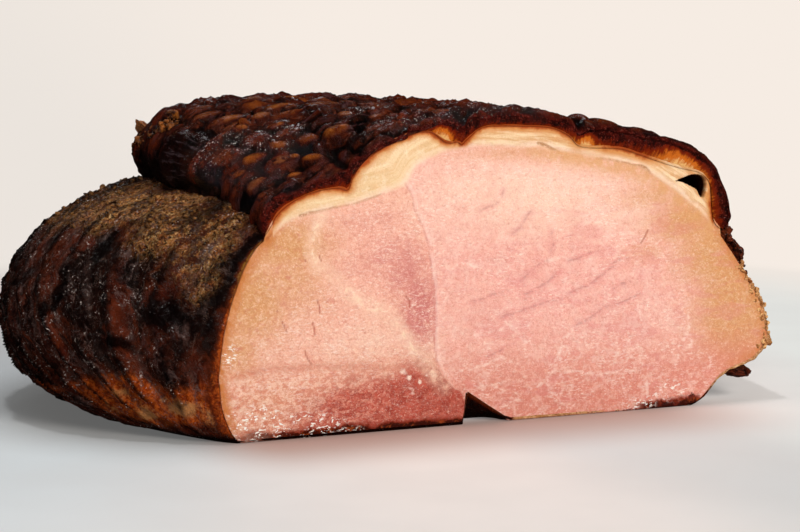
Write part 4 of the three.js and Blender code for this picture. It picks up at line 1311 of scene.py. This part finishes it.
def rind():
    """The cap of rind and the fat under it, closed: rings of an over line and an under line at each depth.
    On the cut the ring is only the rind's own thickness, its edge rounded over; behind it the ring takes in
    the fat."""
    front = -0.5 + (RIND_TURN + 0.4) * (1 - np.cos(EDGE_TURN))
    closing = rounded_depths(RIND_WHOLE, RIND_DEPTH, 2.4, 40, 60)[1:]
    depth = np.concatenate([front, np.linspace(3, RIND_WHOLE, 104), closing])
    over_ring, under_ring = rind_rings(depth)
    top, bottom = lofted(over_ring, depth), lofted(under_ring, depth)
    bottom[0, :, 1] = 0.9

    swell_line = even_line(RIND_AT_SWELL["over"], RIND_COLUMNS_OVER)
    steps = np.linalg.norm(np.diff(swell_line, axis=0), axis=1)
    blank_over = np.zeros(top.shape[:2])
    across = np.concatenate([[0], np.cumsum(steps)]) + blank_over
    height, looks = rind_relief(across, top[..., 1], top[..., 0])
    ends = np.sin(np.pi * np.linspace(0, 1, RIND_COLUMNS_OVER)) ** 0.3
    turned_over = np.zeros(len(depth))
    turned_over[:len(EDGE_TURN)] = 1 - np.sin(EDGE_TURN)
    flush = 0.55 + 0.45 * ramp(depth, 0, 7)
    lift = (height * flush[:, None] - RIND_TURN * turned_over[:, None]) * ends
    top = shrunk(top + facing(top, False) * lift[..., None], depth)
    bottom = shrunk(bottom, depth)

    inner_bottom = bottom[:, -2:0:-1]
    rings = np.concatenate([top, inner_bottom], axis=1)
    rows, columns = rings.shape[:2]
    blank = np.zeros(inner_bottom.shape[:2])
    fields = {"across": [across, blank], "depth": [top[..., 1], blank], "thin": [blank_over, blank],
              "band": [0.3 * turned_over[:, None] + blank_over, blank + 1],
              **{name: [values, blank] for name, values in looks.items()}}
    fields = {key: np.concatenate(values, axis=1).ravel() for key, values in fields.items()}
    number = np.arange(rows * columns).reshape(rows, columns)
    points, faces = [rings.reshape(-1, 3)], [grid_faces(rows, columns, True)]
    previous, total = number[0, :RIND_COLUMNS_OVER], rows * columns
    for t, line in cut_edge_rows(top[0], bottom[0], ends):
        inner = np.concatenate([previous[:1], total + np.arange(len(line)), previous[-1:]])
        points.append(line)
        faces.append(np.stack([previous[:-1], inner[:-1], inner[1:], previous[1:]], axis=-1))
        previous, total = inner, total + len(line)
        x = line[:, 0] / CUT_WIDTH
        extra = {"band": 0.3 + 0.7 * t + 0 * x, "across": across[0, 1:-1], "along": across[0, 1:-1],
                 "thin": np.max([np.exp(-((x - place) / wide) ** 2) for place, wide in THIN_EDGE], axis=0),
                 "wet": 0.85 + 0 * x}
        fields = {key: np.concatenate([value, extra.get(key, 0 * x)]) for key, value in fields.items()}
    faces.append(halved(previous, under_row(number[0]))[:, ::-1])
    faces.append(halved(number[-1, :RIND_COLUMNS_OVER], under_row(number[-1])))
    make_piece("blistered_rind", np.concatenate(points), faces, rind_finish(), fields)


# ---------------------------------------------------------------- flakes and crumbs

FLAP = {"middle": [94.8, 10], "depth": 5, "half": [7, 5, 2.4], "turn": [0.2, 0.1, 0.2]}
SPUR = {"middle": [99.6, 20], "depth": 3, "half": [3.6, 3, 2.2], "turn": [0, 0.5, 0]}
CORNER_FLAKE = {"middle": [3, 87], "depth": 98, "half": [5.5, 9, 2], "turn": [0.25, 0.9, 0.3]}
ROLL_LINE = [[-0.4, 94, 86], [-0.4, 84, 88], [1.6, 81, 90.5], [3.3, 74, 92.5], [3.8, 66, 93.8], [8, 78, 96.5]]
# Scallops on the right-hand edge: x, height and half-width, in millimetres
SCALLOPS = [[178, 61, 3.2], [180.5, 57.5, 3.1], [182.2, 54, 2.7], [183.6, 50.5, 2.6], [185, 47, 2.2],
            [186.4, 43.5, 2.2], [187.8, 40, 1.8], [189, 36.5, 1.6]]
LUMPS_IN_SCALLOP = 9
CRUMBS_ON_ROLL = 240
CRUMBS_ON_SHOULDER = 240
CRUMBS_ON_RIGHT = 130


def flake_finish(name, dark, light):
    """Fried crumb: a light colour in coarse patches on a dark one, and the dark one again as painted shade in
    the pits of its fine bump.
    """
    f = Finish(name)
    coarse, fine = f.noise(2.2, 4, 0.7, 0.5), f.noise(0.7, 3, 0.7)
    # painted shade: the dark colour again in the low places of the fine bump
    colour = f.coats(dark, (f.band(coarse, 0.4, 0.6), light), (f.band(fine, 0.5, 0.35, 0, 0.6), dark))
    return f.finish(colour, f.band(coarse, 0.3, 0.7, 0.25, 0.5), f.bump(fine, 0.5), Specular_IOR_Level=0.4)


def turn_matrix(angles):
    """The turn about x, then y, then z, by angles in radians."""
    (cx, cy, cz), (sx, sy, sz) = np.cos(angles), np.sin(angles)
    about_x = np.array([[1, 0, 0], [0, cx, -sx], [0, sx, cx]])
    about_y = np.array([[cy, 0, sy], [0, 1, 0], [-sy, 0, cy]])
    about_z = np.array([[cz, -sz, 0], [sz, cz, 0], [0, 0, 1]])
    return about_z @ about_y @ about_x


def lump(middle, half, turn, rough, seed, rows, columns, first=0):
    """A closed lumpy ellipsoid: middle + turn (half * direction * (1 + rough * noise)), with a direction for
    each latitude and longitude. Returns its points and faces."""
    latitude = np.linspace(0, math.pi, rows + 2)[1:-1, None]
    longitude = np.linspace(0, 2 * math.pi, columns, endpoint=False)[None, :]
    ring = np.stack([np.sin(latitude) * np.cos(longitude), np.sin(latitude) * np.sin(longitude),
                     np.cos(latitude) + 0 * longitude], axis=-1).reshape(-1, 3)
    direction = np.concatenate([ring, [[0, 0, 1], [0, 0, -1]]])
    swollen = direction * (1 + rough * layered(direction, 0.7, seed, 3))[:, None]
    points = np.array(middle) + (swollen * half) @ turn_matrix(turn).T
    total = rows * columns
    top, bottom = np.full(columns, first + total), np.full(columns, first + total + 1)
    start = first + np.arange(columns)
    end = start + (rows - 1) * columns
    faces = [grid_faces(rows, columns, True, first)[:, ::-1],
             np.stack([top, start, np.roll(start, -1)], axis=-1),
             np.stack([bottom, np.roll(end, -1), end], axis=-1)]
    return points, faces


def flake(name, place, rough, seed, finish):
    """One ragged flake at the place where the solid has it."""
    across, up = np.array(place["middle"]) / 100 * [CUT_WIDTH, JOINT_HEIGHT]
    points, faces = lump([across, place["depth"], up], place["half"], place["turn"], rough, seed, 60, 90)
    make_piece(name, points, faces, finish)


def crumbs(name, spots, sizes, finish, seed):
    """Small lumps joined into one piece, one at each spot."""
    draws = np.random.default_rng(seed)
    points, faces, first = [], [], 0
    for number, (spot, size) in enumerate(zip(spots, sizes)):
        half = size * draws.uniform(0.35, 1.0, 3)
        grain, sides = lump(spot, half, draws.uniform(0, 3, 3), 0.6, seed + number, 10, 14, first)
        points.append(grain)
        faces += sides
        first += len(grain)
    make_piece(name, np.concatenate(points), faces, finish)


def scattered(grid, wanted, count, seed):
    """Places drawn from a grid of points, each as likely as its weight in wanted."""
    weight = wanted.ravel() / wanted.sum()
    return grid.reshape(-1, 3)[np.random.default_rng(seed).choice(weight.size, count, replace=False, p=weight)]


def flakes():
    """The loose bits that the solid has too."""
    flake("scorched_flap", FLAP, 0.45, 71, flake_finish("scorched flake", "#1c0805", "#5e2410"))
    flake("spur", SPUR, 0.45, 72, flake_finish("browned spur", "#7a4420", "#c08850"))
    flake("corner_flake", CORNER_FLAKE, 0.5, 73, flake_finish("fried flake", "#5a260c", "#b06a2c"))


def frayed_edges():
    """Crumbs along the rind's rolled left-hand end, and scallops of small lumps on the right-hand edge."""
    draws = np.random.default_rng(78)
    marks = np.array(ROLL_LINE)
    first = draws.integers(0, len(marks) - 1, CRUMBS_ON_ROLL)
    spots = marks[first] + draws.uniform(0, 1, (CRUMBS_ON_ROLL, 1)) * (marks[first + 1] - marks[first])
    spots = spots + draws.normal(0, 1.4, (CRUMBS_ON_ROLL, 3)) + [1.6, 0, -0.6]
    crumbs("roll_crumbs", spots, draws.uniform(0.4, 1.7, CRUMBS_ON_ROLL),
           flake_finish("frayed crumb", "#2c1006", "#9c5820"), 900)
    x, up, half = np.repeat(SCALLOPS, LUMPS_IN_SCALLOP, axis=0).T
    knobs = np.stack([x - 0.5, np.full(len(x), 4.2), up], axis=-1)
    knobs = knobs + draws.normal(0, 0.9, knobs.shape) * [0.6, 1.2, 1.2]
    crumbs("edge_scallops", knobs, half * draws.uniform(0.4, 1.0, len(knobs)),
           flake_finish("scorched scallop", "#200a05", "#6e2c12"), 1200)


def scattered_crumbs(skin):
    """Crumbs on the shoulder and low on the right-hand edge of the cut."""
    x, depth, up = skin[..., 0] / CUT_WIDTH, skin[..., 1], skin[..., 2] / JOINT_HEIGHT
    draws = np.random.default_rng(74)
    shoulder = ramp(x, 0.15, 0.1) * ramp(up, 0.6, 0.66) * within(depth, 4, 10, 110, 130)
    crumbs("shoulder_crumbs", scattered(skin, shoulder, CRUMBS_ON_SHOULDER, 75),
           draws.uniform(0.4, 1.4, CRUMBS_ON_SHOULDER),
           flake_finish("shoulder crumb", "#210e06", "#85582a"), 300)
    edge = ramp(x, 0.86, 0.92) * within(up, 0.16, 0.2, 0.45, 0.52) * ramp(depth, 6, 3)
    crumbs("edge_crumbs", scattered(skin, edge, CRUMBS_ON_RIGHT, 76),
           draws.uniform(0.4, 1.3, CRUMBS_ON_RIGHT),
           flake_finish("edge crumb", "#9a5c2c", "#f0bc80"), 600)


# ---------------------------------------------------------------- floor, lights and camera

FLOOR_REACH = 30  # metres
LAMP_AIM = (0, 0, 0.05)
COOL, WARM = (0.97, 0.98, 1), (1, 0.98, 0.95)
LENS = 100
CAMERA_PLACE = (-196.8, -645.9, 150.6)  # millimetres from the cut's left-hand end
CAMERA_DOWN = 8
CAMERA_TURN = 21.7


def floor_finish():
    """Pale floor, lit near the joint, with a painted darker contact shade on the left, a painted warm shade and
    reflection before the cut, and painted lighter on the right where the joint's shadow falls. It glows a little
    everywhere and more at the far right, and far off, where it is the backdrop, it shines by itself; wet
    surfaces mirror it as nearly black."""
    f = Finish("pale floor")
    length = f.add("ShaderNodeVectorMath", operation="LENGTH")
    f.links.new(f.place, length.inputs[0])
    away = length.outputs["Value"]
    far = f.band(away, 240, 370)
    sideways = f.math("DIVIDE", f.axis("X"), away)
    # painted light: lighter colour and more glow towards the far right
    outer = f.times(f.band(sideways, 0.4, 0.7), f.band(away, 135, 185))
    open_sky = f.add("ShaderNodeAmbientOcclusion", samples=6)
    open_sky.inputs["Distance"].default_value = 0.036
    shade = f.times(f.band(open_sky.outputs["AO"], 1.0, 0.4), f.band(sideways, 0.2, -0.4))
    # painted shade and reflection: a warm tint on the floor just before the cut
    at_cut = f.times(f.band(f.axis("X"), -90, -55), f.band(f.axis("X"), 120, 70), f.band(f.axis("Y"), -60, -76),
                     f.band(f.axis("Y"), -128, -77), 0.85)
    colour = f.coats(
        "#dfe5e8",
        (f.band(sideways, -0.9, -0.2), "#eee7e3"),
        (f.band(sideways, -0.05, 0.3), "#dadbdb"),
        # painted light: lighter where the joint's shadow falls on the right
        (f.band(sideways, 0.5, 0.8), "#f6f1ee"),
        (outer, "#e6e7e3"),
        (f.band(f.noise(40, 2, 0.5), 0.3, 0.7, 0, 0.15), "#cfcbc9"),
        (shade, "#a4a4a3"),
        (at_cut, "#ad8b7f"),
    )
    f.finish(colour, 0.55, Specular_IOR_Level=0.25)
    backdrop = f.glowing(f.mix(far, colour, f.mix(f.band(sideways, 0.12, 0.36), "#ebe4dd", "#f6ece3")))
    # the floor glows by itself: a little everywhere, more at the far right, fully far off
    own_light = f.math("MAXIMUM", far, f.total((outer, 0.6), offset=0.3))
    seen = f.blend_shaders(own_light, f.shader.outputs[0], backdrop)
    mirrored = f.add("ShaderNodeLightPath").outputs["Is Glossy Ray"]
    f.links.new(f.blend_shaders(mirrored, seen, f.glowing("#100f0e")),
                f.nodes["Material Output"].inputs["Surface"])
    return f.material


def studio_floor():
    """A wide level floor, which is the backdrop too."""
    mesh = bpy.data.meshes.new("floor")
    corners = [(-1, -1), (1, -1), (1, 1), (-1, 1)]
    mesh.from_pydata([(FLOOR_REACH * x, FLOOR_REACH * y, 0) for x, y in corners], [], [(0, 1, 2, 3)])
    mesh.materials.append(floor_finish())
    floor = bpy.data.objects.new("floor", mesh)
    bpy.context.scene.collection.objects.link(floor)


def softbox(name, place, size, power, colour, mirrored):
    """A rectangular area light in metres that faces the joint. Either wet surfaces mirror it, or it lights
    them."""
    light = bpy.data.lights.new(name, "AREA")
    light.shape = "RECTANGLE"
    light.size, light.size_y = size
    light.energy = power
    light.color = colour
    lamp = bpy.data.objects.new(name, light)
    lamp.location = place
    aim = np.array(LAMP_AIM) - np.array(place)
    lamp.visible_glossy = mirrored
    lamp.visible_diffuse = not mirrored
    tilt = math.acos(-aim[2] / np.linalg.norm(aim))
    lamp.rotation_euler = (tilt, 0, math.atan2(aim[1], aim[0]) - math.pi / 2)
    bpy.context.scene.collection.objects.link(lamp)


def room():
    """A pale room that the camera sees as it is, and that lights and is mirrored only a little."""
    world = bpy.data.worlds.new("room")
    world.use_nodes = True
    nodes, links = world.node_tree.nodes, world.node_tree.links
    ray = nodes.new("ShaderNodeLightPath")
    share = nodes.new("ShaderNodeMix")
    links.new(ray.outputs["Is Diffuse Ray"], share.inputs["Factor"])
    share.inputs["A"].default_value = 0.004
    share.inputs["B"].default_value = 0.12
    total = nodes.new("ShaderNodeMath")
    total.operation = "MAXIMUM"
    links.new(ray.outputs["Is Camera Ray"], total.inputs[0])
    links.new(share.outputs["Result"], total.inputs[1])
    nodes["Background"].inputs["Color"].default_value = tint("#f4eae0")
    links.new(total.outputs[0], nodes["Background"].inputs["Strength"])
    bpy.context.scene.world = world


def studio_lights():
    """Soft light from the front and a little from above, and five small lamps that only make glints."""
    softbox("front", (0.3, -1.25, 0.75), (0.6, 0.5), 19, (1, 0.97, 0.93), False)
    softbox("top", (-0.2, -0.05, 1.2), (0.12, 0.09), 4.5, COOL, False)
    softbox("glint above", (-0.2, -0.05, 1.2), (0.05, 0.05), 3, COOL, True)
    softbox("glint left", (-1.15, 0.1, 0.7), (0.05, 0.05), 1, COOL, True)
    softbox("glint right", (0.45, -0.35, 1.1), (0.05, 0.05), 2, WARM, True)
    softbox("glint front", (0.3, -1.25, 0.75), (0.07, 0.07), 0.8, WARM, True)
    softbox("glint behind", (0.42, 1.15, 0.85), (0.2, 0.1), 0.8, (0.94, 0.97, 1), True)


def camera():
    """The photograph's view, from the left of the cut's own direction, in plain screen colours."""
    data = bpy.data.cameras.new("camera")
    data.lens = LENS
    data.sensor_width = 36
    eye = bpy.data.objects.new("camera", data)
    eye.location = placed(np.array(CAMERA_PLACE))
    eye.rotation_euler = (math.radians(90 - CAMERA_DOWN), 0, math.radians(-CAMERA_TURN))
    bpy.context.scene.collection.objects.link(eye)
    bpy.context.scene.camera = eye
    bpy.context.scene.view_settings.view_transform = "Standard"


skin = browned_crust()
flakes()
frayed_edges()
scattered_crumbs(skin)
cut_face()
rind()
studio_floor()
room()
studio_lights()
camera()
